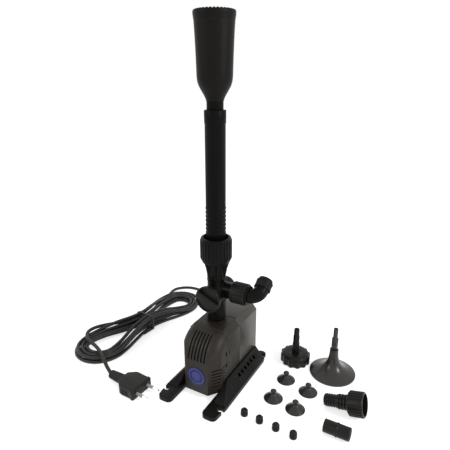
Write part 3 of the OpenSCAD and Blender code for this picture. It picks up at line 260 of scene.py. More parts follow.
def edge_line(points):
    """A new piece of edges only: one corner drawn on from point to point, still in edit mode."""
    bpy.ops.object.select_all(action="DESELECT")
    bpy.ops.mesh.primitive_plane_add(size=mm)
    bpy.ops.object.mode_set(mode="EDIT")
    bpy.ops.mesh.merge(type="CENTER")
    bpy.ops.transform.translate(value=[v * mm for v in points[0]])
    for a, b in zip(points, points[1:]):
        step = [(q - p) * mm for p, q in zip(a, b)]
        bpy.ops.mesh.extrude_region_move(TRANSFORM_OT_translate={"value": step})
    bpy.ops.mesh.select_all(action="SELECT")
    return bpy.context.object


def spun(steps, angle, centre, axis):
    """Spins the edges of the piece in edit mode round an axis and closes the form."""
    bpy.ops.mesh.spin(steps=steps, angle=angle, center=centre, axis=axis)
    bpy.ops.mesh.select_all(action="SELECT")
    bpy.ops.mesh.remove_doubles(threshold=0.000004)
    bpy.ops.mesh.normals_make_consistent(inside=False)
    bpy.ops.object.mode_set(mode="OBJECT")


def sawn(name, outline, low, high):
    """A slab: the outline (x, y) is drawn, filled, and pulled up from low to high."""
    slab = edge_line([(x, y, low) for x, y in outline])
    slab.name = name
    bpy.ops.mesh.edge_face_add()
    bpy.ops.mesh.extrude_region_move(TRANSFORM_OT_translate={"value": (0, 0, (high - low) * mm)})
    bpy.ops.mesh.select_all(action="SELECT")
    bpy.ops.mesh.normals_make_consistent(inside=False)
    bpy.ops.object.mode_set(mode="OBJECT")
    return slab


def picked(piece):
    """Makes a piece the one that is chosen and active."""
    bpy.ops.object.select_all(action="DESELECT")
    piece.select_set(True)
    bpy.context.view_layer.objects.active = piece


def stood(piece, turn=(0, 0, 0), move=(0, 0, 0)):
    """Turns a piece about the origin, moves it, and puts its place in its mesh."""
    piece.rotation_euler = [math.radians(v) for v in turn]
    piece.location = [v * mm for v in move]
    picked(piece)
    bpy.ops.object.transform_apply(location=True, rotation=True, scale=True)
    return piece


def joined_by(piece, other, how):
    """Cuts, adds or keeps the common part with another solid, which is then gone."""
    step = piece.modifiers.new(how, "BOOLEAN")
    step.operation = how
    step.solver = "EXACT"
    step.object = other
    picked(piece)
    bpy.ops.object.modifier_apply(modifier=how)
    bpy.data.objects.remove(other)
    return piece


def eased(piece, width, rounds=2, angle=32):
    """Rounds a piece's sharp edges and shades it smooth between them."""
    step = piece.modifiers.new("eased", "BEVEL")
    step.width = width * mm
    step.segments = rounds
    step.limit_method = "ANGLE"
    step.angle_limit = math.radians(angle)
    picked(piece)
    bpy.ops.object.modifier_apply(modifier="eased")
    bpy.ops.object.shade_smooth_by_angle(angle=math.radians(38))
    return piece


def box(x0, x1, y0, y1):
    """The outline of a rectangle."""
    return [(x0, y0), (x1, y0), (x1, y1), (x0, y1)]


def arc(cx, cy, r, start, end, steps):
    """Points on an arc from one angle to another, in degrees."""
    return [(cx + r * math.cos(math.radians(start + (end - start) * i / steps)),
             cy + r * math.sin(math.radians(start + (end - start) * i / steps))) for i in range(steps + 1)]


def dressed(piece, finish, body, slot, *nodes):
    """Gives a piece its finish and says which body it rides on and what it stands for."""
    piece.data.materials.clear()
    piece.data.materials.append(finish)
    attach(piece, body)
    if nodes:
        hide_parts(*nodes)
    return piece


# The plate's and rails' rounded edges carry a strong painted edge highlight.
foot_black = moulded("foot_black", (0.0045, 0.0042, 0.004), (0.05, 0.047, 0.044), roughness=0.32,
                     mottle=0.12, edge_highlight=0.9, shine=0.12)
plate_half, plate_front, plate_rear, plate_top = 22, 26, 46, 8
screw_x, screw_y = 18, (-13, 7.5)
foot_plate = sawn("foot_plate", box(-plate_half, plate_half, -plate_front, plate_rear), 0, plate_top)
for x in (-screw_x, screw_x):
    for y in screw_y:
        bpy.ops.mesh.primitive_cylinder_add(radius=3.1 * mm, depth=5.2 * mm, location=(x * mm, y * mm, 0))
        joined_by(foot_plate, bpy.context.object, "DIFFERENCE")
eased(foot_plate, 0.5)
dressed(foot_plate, foot_black, "base", "rail", "base_plate")

# The four foot screws: small pan-head steel screws with a cross recess, sunk into the plate
# from below so that it still lies flat.
def plated(name, colour, roughness, brushed=0.15):
    """Bare or plated metal with fine drawn lines and a little tarnish."""
    finish = bpy.data.materials.new(name)
    finish.use_nodes = True
    nodes, links = finish.node_tree.nodes, finish.node_tree.links
    surface = nodes["Principled BSDF"]
    surface.inputs["Metallic"].default_value = 1
    place = nodes.new("ShaderNodeTexCoord")
    tarnish = nodes.new("ShaderNodeTexNoise")
    tarnish.inputs["Scale"].default_value = 420
    tarnish.inputs["Detail"].default_value = 5
    links.new(place.outputs["Object"], tarnish.inputs["Vector"])
    ramp = nodes.new("ShaderNodeValToRGB")
    ramp.color_ramp.elements[0].position = 0.3
    ramp.color_ramp.elements[0].color = (*[v * 0.72 for v in colour], 1)
    ramp.color_ramp.elements[1].position = 0.62
    ramp.color_ramp.elements[1].color = (*colour, 1)
    links.new(tarnish.outputs["Fac"], ramp.inputs["Fac"])
    links.new(ramp.outputs["Color"], surface.inputs["Base Color"])
    gloss = nodes.new("ShaderNodeMath")
    gloss.operation = "MULTIPLY_ADD"
    gloss.inputs[1].default_value = brushed
    gloss.inputs[2].default_value = roughness
    links.new(tarnish.outputs["Fac"], gloss.inputs[0])
    links.new(gloss.outputs[0], surface.inputs["Roughness"])
    return finish


def copy_of(piece):
    """A copy of a piece, in the same place."""
    picked(piece)
    bpy.ops.object.duplicate()
    return bpy.context.object


screw_steel = plated("screw_steel", (0.62, 0.61, 0.58), 0.28)
screw_head = sawn("foot_screw", arc(0, 0, 2.8, 0, 345, 23), 0.8, 2.6)
for turn in (0, 90):
    bpy.ops.mesh.primitive_cube_add(size=1)
    blade = bpy.context.object
    blade.scale = (3.4 * mm, 0.6 * mm, 1.6 * mm)
    stood(blade, turn=(0, 0, turn), move=(0, 0, 0.8))
    joined_by(screw_head, blade, "DIFFERENCE")
shank = sawn("shank", arc(0, 0, 1.4, 0, 345, 23), 2.4, 14.2)
joined_by(screw_head, shank, "UNION")
eased(screw_head, 0.2)
foot_screws = [screw_head]
for x, y in ((screw_x, screw_y[0]), (-screw_x, screw_y[1]), (screw_x, screw_y[1])):
    foot_screws.append(stood(copy_of(screw_head), move=(x, y, 0)))
stood(screw_head, move=(-screw_x, screw_y[0], 0))
for screw in foot_screws:
    dressed(screw, screw_steel, "base", "steel", "base_screws")

# The rails: one moulding on each side, a flat plate with rounded paddles at both ends, each
# with an open round seat for a suction cup, and a hollow sloping wall along the housing with
# six windows cut through the slope. The left one is the mirror of the right one.
rail_in, rail_out, rail_front, rail_rear = 22, 43, 75, 71
rail_thick, rail_high = 5, 20
wall_from, wall_to, wall_foot = -52, 57, 27.3
seat_radius, seat_in, seat_front, seat_rear, seat_throat = 3.6, 4.6, -58, 62.5, 5
window_first, window_pitch, window_wide, window_in, window_out = -4, 8.4, 4.6, 32.4, 36.2
ramp_from = 25


def make_rail(name):
    """The rail on the pump's right: plate, hollow sloping wall, windows and seats."""
    lean, corner = 2.2, 6
    outline = (arc(rail_in + corner, corner - rail_front, corner, 180, 270, 8)
               + arc(rail_out - corner - lean, corner - rail_front, corner, 270, 360, 8)
               + [(rail_out, wall_from + lean), (rail_out, wall_to - lean)]
               + arc(rail_out - corner - lean, rail_rear - corner, corner, 0, 90, 8)
               + arc(wall_foot + corner, rail_rear - corner, corner, 90, 180, 8)
               + [(wall_foot, plate_rear + lean), (rail_in, plate_rear)])
    rail = sawn(name, outline, 0, rail_thick)
    slope = [(wall_foot, 0.4), (wall_foot, rail_high), (wall_foot + lean, rail_high), (rail_out - 2, 6),
             (rail_out - 0.3, rail_thick), (rail_out - 0.3, 0.4)]
    wall = sawn("slope", slope, 0, wall_to - wall_from)
    stood(wall, turn=(90, 0, 0), move=(0, wall_to, 0))
    hollow = [(wall_foot + 2.2, 2.2), (wall_foot + 2.2, rail_high - 2.2), (wall_foot + 3.3, rail_high - 2.2),
              (rail_out - 4.2, 4.9), (rail_out - 2.2, 3.9), (rail_out - 2.2, 2.2)]
    cavity = sawn("cavity", hollow, 0, wall_to + ramp_from - 4.4)
    stood(cavity, turn=(90, 0, 0), move=(0, wall_to - 2.2, 0))
    joined_by(wall, cavity, "DIFFERENCE")
    above = [(-ramp_from, rail_high), (wall_from - 1, 6), (wall_from - 1, 25), (-ramp_from, 25)]
    ramp = sawn("ramp", above, 20, 50)
    stood(ramp, turn=(90, 0, 90))
    joined_by(wall, ramp, "DIFFERENCE")
    joined_by(rail, wall, "UNION")
    for i in range(6):
        y = window_first + i * window_pitch
        opening = box(window_in, window_out, y, y + window_wide)
        joined_by(rail, sawn("window", opening, rail_thick + 0.2, 22), "DIFFERENCE")
    for y in (seat_front, seat_rear):
        seat = arc(rail_out - seat_in, y, seat_radius, 45, 315, 24)
        throat = [(rail_out + 2, y - seat_throat / 2), (rail_out + 2, y + seat_throat / 2)]
        joined_by(rail, sawn("seat", seat + throat, -1, rail_thick + 1), "DIFFERENCE")
    return rail


right_rail = make_rail("right_rail_moulding")
eased(right_rail, 0.55, rounds=3)
left_rail = copy_of(right_rail)
left_rail.name = "left_rail_moulding"
left_rail.scale = (-1, 1, 1)
stood(left_rail)
bpy.ops.object.mode_set(mode="EDIT")
bpy.ops.mesh.select_all(action="SELECT")
bpy.ops.mesh.normals_make_consistent(inside=False)
bpy.ops.object.mode_set(mode="OBJECT")
dressed(right_rail, foot_black, "base", "rail", "right_rail")
dressed(left_rail, foot_black, "base", "rail", "left_rail")


# The housing: a pump body moulded in three pieces that meet at two seams. Its top has a broad
# bevel along each side, the front curls down over the nose and is raked back at both corners.
# Warm grey-black, a little paler than the foot.
body_half, body_top, body_low = 27, 84, 8
body_front, body_rear = 49, 62
nose_round, bevel_across, bevel_down = 36, 7, 8
cage_seam, rear_seam, shell_wall = 20, 12.5, 2.2
nose_half, rake_long, corner_round = 16, 12.5, 13
outlet_hole = 12.3


def nose_corner(side, inset):
    """What lies outside the hood's rounded corner, spun along the nose on one side."""
    reach, across, cut = nose_round - corner_round, body_half - corner_round, corner_round - inset
    outside = [(reach - 1, across + cut + 0.1), (reach - 1, body_half + 2),
               (nose_round + 2, body_half + 2), (nose_round + 2, across - 1)]
    outline = [(reach + cut + 0.1, across - 1)] + arc(reach, across, cut, 4, 86, 14) + outside
    axis_y, axis_z = nose_round - body_front, body_top - nose_round
    corner = edge_line([(side * x, axis_y, axis_z + z) for z, x in outline])
    bpy.ops.mesh.edge_face_add()
    spun(32, -math.pi / 2, (0, axis_y * mm, axis_z * mm), (1, 0, 0))
    return corner


def housing_form(name, inset, round_top, low=0):
    """The common part of the side view, the plan and the front view, drawn in by inset."""
    centre = nose_round - body_front
    side = ([(body_rear - inset, body_low + inset), (-body_front + inset, body_low + inset)]
            + arc(centre, body_top - nose_round, nose_round - inset, 180, 90, 40)
            + [(body_rear - inset, body_top - inset)])
    form = sawn(name, side, -40, 40)
    stood(form, turn=(90, 0, 90))
    right = [(nose_half - inset / 2, inset - body_front), (body_half - 2 - inset, rake_long - body_front),
             (body_half - inset, rake_long + 2 - body_front), (body_half - inset, body_rear + 5)]
    plan = sawn("plan", right + [(-x, y) for x, y in reversed(right)], -2, 90)
    joined_by(form, plan, "INTERSECT")
    top, edge = body_top - inset, body_half - inset
    if round_top:
        across, up = edge - corner_round + inset, top - corner_round + inset
        shoulder = arc(across, up, corner_round - inset, 0, 90, 16)
    else:
        shoulder = [(edge, top - bevel_down), (edge - bevel_across, top)]
    right = [(edge - 1.5, body_low + inset - low), (edge, body_low + 1.5 + inset - low)] + shoulder
    front = sawn("front", right + [(-x, z) for x, z in reversed(right)], -90, 90)
    stood(front, turn=(90, 0, 0))
    joined_by(form, front, "INTERSECT")
    if round_top:
        for s in (-1, 1):
            joined_by(form, nose_corner(s, inset), "DIFFERENCE")
    return form


def kept_between(piece, y0, y1):
    """Keeps what lies between two planes across the pump."""
    return joined_by(piece, sawn("kept", box(-60, 60, y0, y1), -20, 120), "INTERSECT")


housing_grey = moulded("housing_grey", (0.0135, 0.0105, 0.0076), (0.055, 0.0455, 0.036), roughness=0.4,
                       mottle=0.3, edge_highlight=0.5, shine=0.26)
middle = kept_between(housing_form("middle_housing_shell", 0, False), -cage_seam, rear_seam)
collar_hole = sawn("collar_hole", arc(0, 0, outlet_hole, 0, 354, 59), 70, 90)
eased(middle, 0.7, rounds=3, angle=25)
inner = kept_between(housing_form("inner", shell_wall, False), -cage_seam - 1, rear_seam + 1)
joined_by(middle, inner, "DIFFERENCE")
joined_by(middle, collar_hole, "DIFFERENCE")
for s in (-1, 1):
    line = box(s * 26.1, s * 28, -6.2, -5.7)
    joined_by(middle, sawn("step_line", line, 20, 42), "DIFFERENCE")
    slit = box(s * 24.0, s * 28, -14.7, -13.2)
    joined_by(middle, sawn("slit", slit, 48.5, 58.5), "DIFFERENCE")
bpy.ops.object.shade_smooth_by_angle(angle=math.radians(30))
dressed(middle, housing_grey, "base", "housing", "middle_housing")

# The lips that the middle shell carries inside its neighbours' mouths; they show as a dark
# step where the cage is pulled forward.
lip = kept_between(housing_form("front_lip", shell_wall + 0.3, True), -cage_seam - 3, -cage_seam + 0.5)
hollow = housing_form("hollow", shell_wall + 1.5, True)
joined_by(lip, hollow, "DIFFERENCE")
eased(lip, 0.15, rounds=1)
dressed(lip, housing_grey, "base", "housing")

# The rear housing: a deep cup closed at the back, glued over the middle shell's rear lip, with
# the cord's hole low in its back and a rounded rim at the seam.
rear = kept_between(housing_form("rear_housing_shell", 0, False), rear_seam, body_rear + 1)
eased(rear, 0.9, rounds=3, angle=25)
inner = kept_between(housing_form("inner", shell_wall, False), rear_seam - 1, body_rear - shell_wall)
joined_by(rear, inner, "DIFFERENCE")
gland_high, gland_room = 17, 6.1
gland_hole = sawn("gland_hole", arc(0, gland_high, gland_room, 0, 350, 35), -70, -50)
stood(gland_hole, turn=(90, 0, 0))
joined_by(rear, gland_hole, "DIFFERENCE")
bpy.ops.object.shade_smooth_by_angle(angle=math.radians(30))
# The housing plastic again, made glossier and paler: the paler colour is a painted sheen, standing in for
# the white floor's reflection along the rear's side.
rear_sheen_grey = moulded("rear_sheen_grey", (0.022, 0.0175, 0.0125), (0.085, 0.07, 0.054), roughness=0.3, mottle=0.3,
                    edge_highlight=0.45, shine=0.5)
dressed(rear, rear_sheen_grey, "base", "housing", "rear_housing")

# The front cage: the intake strainer, a hood with six long slots that run up over the nose and
# six short ones round each lower corner. It clips to the middle shell and pulls off forwards.
slot_wide, slot_pitch = 1.9, 4.4
cage = kept_between(housing_form("front_cage_hood", 0, True), -body_front - 1, -cage_seam)
inner = kept_between(housing_form("inner", shell_wall, True), -body_front - 1, -cage_seam + 1)
joined_by(cage, inner, "DIFFERENCE")
for i in range(6):
    x = (i - 2.5) * slot_pitch
    rounded = arc(x, -28 - slot_wide / 2, slot_wide / 2, 0, 180, 6) + arc(x, -60, slot_wide / 2, 180, 360, 6)
    joined_by(cage, sawn("slot", rounded, 52, 90), "DIFFERENCE")
for i in range(6):
    z = body_low + (2.2 + i) * slot_pitch
    for s in (-1, 1):
        cut = box(s * 18.5, s * 34, -56, -27)
        joined_by(cage, sawn("side_slot", cut, z, z + slot_wide), "DIFFERENCE")
badge_place, badge_room = (0, -47.8, 30.5), 12.8
badge_hole = sawn("badge_hole", arc(0, 0, badge_room, 0, 354, 59), 0, 6)
stood(badge_hole, turn=(90, 0, 0), move=badge_place)
joined_by(cage, badge_hole, "DIFFERENCE")
for s in (-1, 1):
    for z in (36, 52):
        catch = box(s * 25.4, s * 28, -24.6, -21.0)
        joined_by(cage, sawn("catch", catch, z, z + 6), "DIFFERENCE")
bpy.ops.object.shade_smooth_by_angle(angle=math.radians(30))
dressed(cage, housing_grey, "cage", "housing", "front_cage")

# The badge: a shallow plastic disc pressed into the cage's nose, deep blue with a paler printed
# band inside a raised rim. Its middle is left bare.
badge_blue = moulded("badge_blue", (0.008, 0.01, 0.1), (0.02, 0.024, 0.2), roughness=0.3, mottle=0.15,
                     edge_highlight=0.1, shine=0.3)


def turned(name, outline, steps=72):
    """A turned piece: (radius, height) points are drawn and spun round the upright axis."""
    piece = edge_line([(r, 0, z) for r, z in outline])
    piece.name = name
    spun(steps, math.tau, (0, 0, 0), (0, 0, 1))
    return piece


badge = turned("badge_disc", [(0, 0), (12.4, 0), (12.5, 0.2), (12.5, 1.5), (12.2, 1.75), (11.2, 1.75),
                              (10.9, 1.45), (8.8, 1.4), (8.6, 1.5), (7.2, 1.5), (7, 1.4), (0, 1.4)], 80)
stood(badge, turn=(90, 0, 0), move=badge_place)
eased(badge, 0.12)
nodes, links = badge_blue.node_tree.nodes, badge_blue.node_tree.links
place = nodes.new("ShaderNodeTexCoord")
centred = nodes.new("ShaderNodeMapping")
centred.inputs["Location"].default_value = (0, 0, -badge_place[2] * mm)
centred.inputs["Scale"].default_value = (1, 0, 1)
reach = nodes.new("ShaderNodeVectorMath")
reach.operation = "LENGTH"
band = nodes.new("ShaderNodeValToRGB")
band.color_ramp.interpolation = "EASE"
steps_of_band = ((0.0, (0.05, 0.06, 0.26)), (0.48, (0.045, 0.055, 0.24)), (0.56, (0.008, 0.01, 0.1)),
                 (0.72, (0.008, 0.01, 0.1)), (0.80, (0.085, 0.1, 0.33)), (0.90, (0.01, 0.012, 0.11)))
while len(band.color_ramp.elements) < len(steps_of_band):
    band.color_ramp.elements.new(1)
for element, (at, shade) in zip(band.color_ramp.elements, steps_of_band):
    element.position, element.color = at, (*shade, 1)
widen = nodes.new("ShaderNodeMath")
widen.operation = "MULTIPLY"
widen.inputs[1].default_value = 80
links.new(place.outputs["Object"], centred.inputs["Vector"])
links.new(centred.outputs[0], reach.inputs[0])
links.new(reach.outputs["Value"], widen.inputs[0])
links.new(widen.outputs[0], band.inputs["Fac"])
skin = next(x for x in nodes if x.type == "GROUP" and x.node_tree == mould_grain)
links.new(band.outputs["Color"], skin.inputs["Color"])
dressed(badge, badge_blue, "cage", "badge", "badge")

# The filter foam: a block of open-cell foam that fills the cage behind its slots, seen only as
# a dull darkness through them.
foam_black = moulded("foam_black", (0.012, 0.012, 0.011), (0.03, 0.03, 0.028), roughness=0.85, grain=700,
                     relief=0.9, edge_highlight=0)
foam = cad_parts["filter_foam"]
foam.data.materials.clear()
foam.data.materials.append(foam_black)

# The outlet collar: a rounded ring where the pump's outlet leaves the housing and the tee's
# lower leg is pushed on.
collar_low, collar_high, collar_bore, collar_radius = 76.2, 86, 10, 12
collar = turned("outlet_collar_ring", [
    (collar_bore, collar_low), (collar_radius, collar_low), (collar_radius, 84.6), (11.7, 85.6),
    (11.2, collar_high), (collar_bore, collar_high), (collar_bore, collar_low)])
eased(collar, 0.3)
dressed(collar, foot_black, "base", "rail", "outlet_collar")

# The regulator's tee: a gloss-black moulding whose upright leg carries a lying valve barrel
# with a domed back, a neck above it and a threaded port to the side. It is fused from turned
# and domed bodies, with small fillets where they meet.
tee_black = moulded("tee_black", (0.0032, 0.003, 0.0028), (0.018, 0.0165, 0.015), roughness=0.26,
                    mottle=0.2, relief=0.03, shine=0.08)
leg_radius, valve_high, barrel_radius = 11.6, 121, 14
port_place, port_long, port_bore = (0, 3, 127), 34, 6.6
tee = turned("tee_moulding", [(0, 86.1), (leg_radius - 0.5, 86.1), (leg_radius, 86.8), (leg_radius, 118),
                              (leg_radius - 0.2, 122), (10.9, 126), (10.9, 139.6), (11.3, 140),
                              (11.3, 140.9), (0, 140.9)])
barrel = turned("barrel", [(0, -14), (13.4, -14), (barrel_radius, -13.2), (barrel_radius, 20)]
                + arc(0, 20, barrel_radius, 0, 90, 18)[1:])
stood(barrel, turn=(-90, 0, 0), move=(0, 0, valve_high))
joined_by(tee, barrel, "UNION")
port_outline = [(0, 0), (10.6, 0), (10, 12), (10, 22), (10.9, 22.4)]
for i in range(6):
    turn_at = i * 1.8
    port_outline += [(10.95, 23 + turn_at), (10.3, 23.9 + turn_at), (10.95, 24.8 + turn_at)]
port_outline += [(10.9, port_long), (port_bore, port_long), (port_bore, 20), (0, 20)]
port = turned("port", port_outline)
stood(port, turn=(0, 90, 0), move=port_place)
joined_by(tee, port, "UNION")
eased(tee, 0.5, rounds=2, angle=28)
dressed(tee, tee_black, "base", "plastic", "tee_body")

# The valve's end cap: a thin ring of the tee's gloss-black plastic, snapped over the barrel's
# front. The knob's spindle comes out through its middle.
spindle_room = 4.1
cap_ring = turned("valve_end_cap", [
    (spindle_room, -2), (13.3, -2), (barrel_radius, -1.5), (barrel_radius, -0.2), (13.7, 0),
    (spindle_room, 0), (spindle_room, -2)])
stood(cap_ring, turn=(-90, 0, 0), move=(0, -14, valve_high))
eased(cap_ring, 0.15)
dressed(cap_ring, tee_black, "base", "plastic", "valve_cap")

# The knob: a round dished handle with one thick grip bar across it, leaning down to the right,
# and a plain boss behind that is pressed on the spindle.
knob_radius, grip_long, grip_high, grip_lean, flutes = 16.8, 31, 9, 24, 24
knob = turned("valve_handle", [(0, -6), (9.9, -6), (10, -5), (15.6, -4.9), (16.5, -4.2),
                               (knob_radius, -3.2), (knob_radius, -1), (16.5, -0.3), (15.9, 0), (15.2, 0),
                               (14.6, -0.6), (14.2, -1.9), (0, -1.9)], 96)
bpy.ops.mesh.primitive_cube_add(size=1)
grip = bpy.context.object
grip.scale = (grip_long * mm, grip_high * mm, 5.6 * mm)
stood(grip, move=(0, 0, 0.2))
eased(grip, 1.4, rounds=4)
joined_by(knob, grip, "UNION")
edge = sawn("edge", arc(0, 0, knob_radius, 0, 355, 71), -8, 6)
joined_by(knob, edge, "INTERSECT")
for i in range(flutes):
    bpy.ops.mesh.primitive_cylinder_add(vertices=12, radius=0.45 * mm, depth=4 * mm)
    flute = bpy.context.object
    a = math.radians(15 * i + 7.5)
    stood(flute, move=((knob_radius + 0.12) * math.cos(a), (knob_radius + 0.12) * math.sin(a), -2.2))
    joined_by(knob, flute, "DIFFERENCE")
eased(knob, 0.2, rounds=2, angle=30)
stood(knob, turn=(90, 0, 0))
stood(knob, turn=(0, grip_lean, 0), move=(0, -22, valve_high))
knob_black = moulded("knob_black", (0.006, 0.0057, 0.0052), (0.032, 0.03, 0.027), roughness=0.26,
                     mottle=0.25, relief=0.03, shine=0.15)
dressed(knob, knob_black, "valve", "plastic", "valve_knob")

# The side nut: a ribbed union nut of black plastic that is screwed over the tee's port. Its
# outer lip holds the elbow's flange against the port, so that the elbow can still turn.
def ring_of(piece, count):
    """Copies a piece round the upright axis and joins the copies to it."""
    parts = [piece]
    for i in range(1, count):
        parts.append(stood(copy_of(piece), turn=(0, 0, 360 * i / count)))
    bpy.ops.object.select_all(action="DESELECT")
    for part in parts:
        part.select_set(True)
    bpy.context.view_layer.objects.active = piece
    bpy.ops.object.join()
    return bpy.context.object


def ribbed(piece, count, radius, width, low, high):
    """Adds rounded grip bars round a nut."""
    bpy.ops.mesh.primitive_cube_add(size=1)
    bar = bpy.context.object
    bar.name = "grip_bar"
    bar.scale = (2.2 * mm, width * mm, (high - low) * mm)
    stood(bar, move=(radius - 1.1, 0, (low + high) / 2))
    eased(bar, 0.35, rounds=2)
    return joined_by(piece, ring_of(bar, count), "UNION")


side_nut = turned("side_union_nut", [(10.1, 22), (12.1, 22), (12.5, 22.5), (12.5, 41.2), (12, 42),
                                     (9, 42), (9, 38.4), (11.25, 38.4), (11.25, 24), (10.1, 24),
                                     (10.1, 22)], 80)
ribbed(side_nut, 22, 13.3, 1.6, 22.9, 41.3)
bpy.ops.object.shade_smooth_by_angle(angle=math.radians(35))
stood(side_nut, turn=(0, 90, 0), move=port_place)
dressed(side_nut, knob_black, "side_nut", "plastic", "side_nut")

# The elbow: a bent tube swept through a right angle, open at its mouth, with a thin collar
# beside the nut. The nut lets it turn on the port.
elbow_radius, elbow_bore, bend_round, bend_from, mouth_long, mouth_lift = 8.8, 6.6, 11, 44.5, 14.5, 34
bpy.ops.object.select_all(action="DESELECT")
bpy.ops.mesh.primitive_circle_add(vertices=48, radius=elbow_radius * mm, fill_type="NOTHING")
elbow = bpy.context.object
elbow.name = "elbow_tube"
stood(elbow, turn=(0, 90, 0), move=(35, 0, 0))
bpy.ops.object.mode_set(mode="EDIT")
bpy.ops.mesh.select_all(action="SELECT")
bpy.ops.mesh.extrude_region_move(TRANSFORM_OT_translate={"value": ((bend_from - 35) * mm, 0, 0)})
bpy.ops.mesh.spin(steps=24, angle=-math.pi / 2, center=(bend_from * mm, bend_round * mm, 0), axis=(0, 0, 1))
bpy.ops.mesh.extrude_region_move(TRANSFORM_OT_translate={"value": (0, mouth_long * mm, 0)})
bpy.ops.mesh.select_all(action="SELECT")
bpy.ops.mesh.remove_doubles(threshold=0.000004)
bpy.ops.mesh.normals_make_consistent(inside=False)
bpy.ops.object.mode_set(mode="OBJECT")
wall = elbow.modifiers.new("wall", "SOLIDIFY")
wall.thickness = (elbow_radius - elbow_bore) * mm
wall.offset = -1
bpy.ops.object.modifier_apply(modifier="wall")
flange = turned("flange", box(8.5, 11.05, 35.1, 38.2) + [(8.5, 35.1)])
stood(flange, turn=(0, 90, 0))
joined_by(elbow, flange, "UNION")
ring = turned("ring", [(8.5, 42.4), (11.2, 42.4), (11.6, 42.9), (11.6, 43.8),
                       (11.2, 44.3), (8.5, 44.3), (8.5, 42.4)])
stood(ring, turn=(0, 90, 0))
joined_by(elbow, ring, "UNION")
eased(elbow, 0.4, rounds=2, angle=40)
stood(elbow, turn=(mouth_lift, 0, 0), move=port_place)
dressed(elbow, tee_black, "elbow", "plastic", "elbow")

# The elbow's collar: a short ribbed sleeve shrunk over the mouth, with a bead at each end.
sleeve = [(8.85, 1), (10.2, 1), (10.4, 1.3), (10.4, 2.6), (9.8, 3)]
for i in range(3):
    sleeve += [(9.75, 3.4 + i * 1.7), (10.15, 3.9 + i * 1.7), (10.15, 4.6 + i * 1.7), (9.75, 5.0 + i * 1.7)]
sleeve += [(9.8, 9), (10.4, 9.4), (10.4, 11), (10.2, 11.4), (8.85, 11.4), (8.85, 1)]
elbow_sleeve = turned("elbow_sleeve", sleeve)
eased(elbow_sleeve, 0.12, rounds=1)
stood(elbow_sleeve, turn=(-90, 0, 0), move=(bend_from + bend_round, bend_round, 0))
stood(elbow_sleeve, turn=(mouth_lift, 0, 0), move=port_place)
dressed(elbow_sleeve, foot_black, "elbow", "plastic", "elbow_collar")

# The riser adapter: an octagonal pipe pushed into the tee's neck, with thin webs that flare up
# to a threaded head; a ball socket sits inside the head.
core_radius, head_radius, adapter_low, head_low = 11.6, 16.4, 141, 163
corners = [math.radians(22.5 + 45 * i) for i in range(8)]
octagon = [(core_radius * math.cos(a), core_radius * math.sin(a)) for a in corners]
adapter = sawn("riser_adapter_moulding", octagon, adapter_low, head_low + 1)
eased(adapter, 0.9, rounds=3, angle=30)
head_high = 178.4
head = turned("head", [(0, head_low), (head_radius - 0.6, head_low), (head_radius, head_low + 0.6),
                       (head_radius, head_high), (14.7, head_high), (14.7, 176), (13, 170), (7.3, 164),
                       (0, 164)])
joined_by(adapter, head, "UNION")
for i in range(6):
    web = sawn("web", [(6, adapter_low + 2), (core_radius, adapter_low + 2), (12.3, 147), (14.3, 157),
                       (head_radius, head_low), (head_radius, head_low + 1.5), (6, head_low + 1.5)], -1, 1)
    stood(web, turn=(90, 0, 0))
    stood(web, turn=(0, 0, 8 + 60 * i))
    joined_by(adapter, web, "UNION")
foot = turned("foot", [(0, 134.6), (8.6, 134.6), (9, 135), (9, 141.2), (0, 141.2)])
joined_by(adapter, foot, "UNION")
eased(adapter, 0.3, rounds=2, angle=30)
dressed(adapter, tee_black, "base", "plastic", "riser_adapter")

# The riser nut: a tall ribbed nut that clamps the riser's ball in its socket, with a chamfer at
# both ends and an open top that the riser leans about in.
nut_low, nut_high, nut_bore, nut_radius = 165, 195, 16.5, 19.2
nut_black = moulded("nut_black", (0.0032, 0.003, 0.0029), (0.02, 0.018, 0.0165), roughness=0.27,
                    mottle=0.18, relief=0.03, shine=0.08)
riser_nut = turned("riser_nut_ring", [
    (nut_bore, nut_low), (17.2, nut_low), (18.3, 167.6), (18.5, 168.4), (18.5, 192.6), (17.9, 194.4),
    (16.9, nut_high), (15.3, nut_high), (14.7, 194.3), (14.7, 185), (12.35, 185), (12.35, 184),
    (14.1, 180), (14.65, 177), (14.7, 178.8), (nut_bore, 178.8), (nut_bore, nut_low)], 96)
ribbed(riser_nut, 28, nut_radius, 1.7, 168.8, 192)
bpy.ops.object.shade_smooth_by_angle(angle=math.radians(35))
dressed(riser_nut, nut_black, "riser_nut", "plastic", "riser_nut")

# The riser tube: the outer tube of the telescope, with seven fine grip rings above the nut and
# a plain collar at its mouth. It is glued on the ball that the nut clamps.
tube_radius, tube_bore, tube_low, tube_high, grip_rings = 11.6, 9.3, 187, 340, 7
tube_black = moulded("tube_black", (0.003, 0.0028, 0.0027), (0.014, 0.0127, 0.0116), roughness=0.36,
                     mottle=0.22, relief=0.025, shine=0.06)
outline = [(tube_bore, tube_low), (tube_radius - 0.6, tube_low), (tube_radius, tube_low + 0.6)]
for i in range(grip_rings):
    z = 200 + 5 * i
    outline += [(tube_radius, z - 0.2), (tube_radius + 0.5, z + 0.15),
                (tube_radius + 0.5, z + 1.2), (tube_radius, z + 1.6)]
outline += [(tube_radius, 325.6), (tube_radius + 0.45, 326.2), (tube_radius + 0.5, 339.3),
            (tube_radius, tube_high), (9.6, tube_high), (tube_bore, tube_high - 0.4), (tube_bore, tube_low)]
riser_tube = turned("riser_outer_tube", outline, 80)
eased(riser_tube, 0.15, rounds=1, angle=40)
dressed(riser_tube, tube_black, "riser", "plastic", "riser_tube")

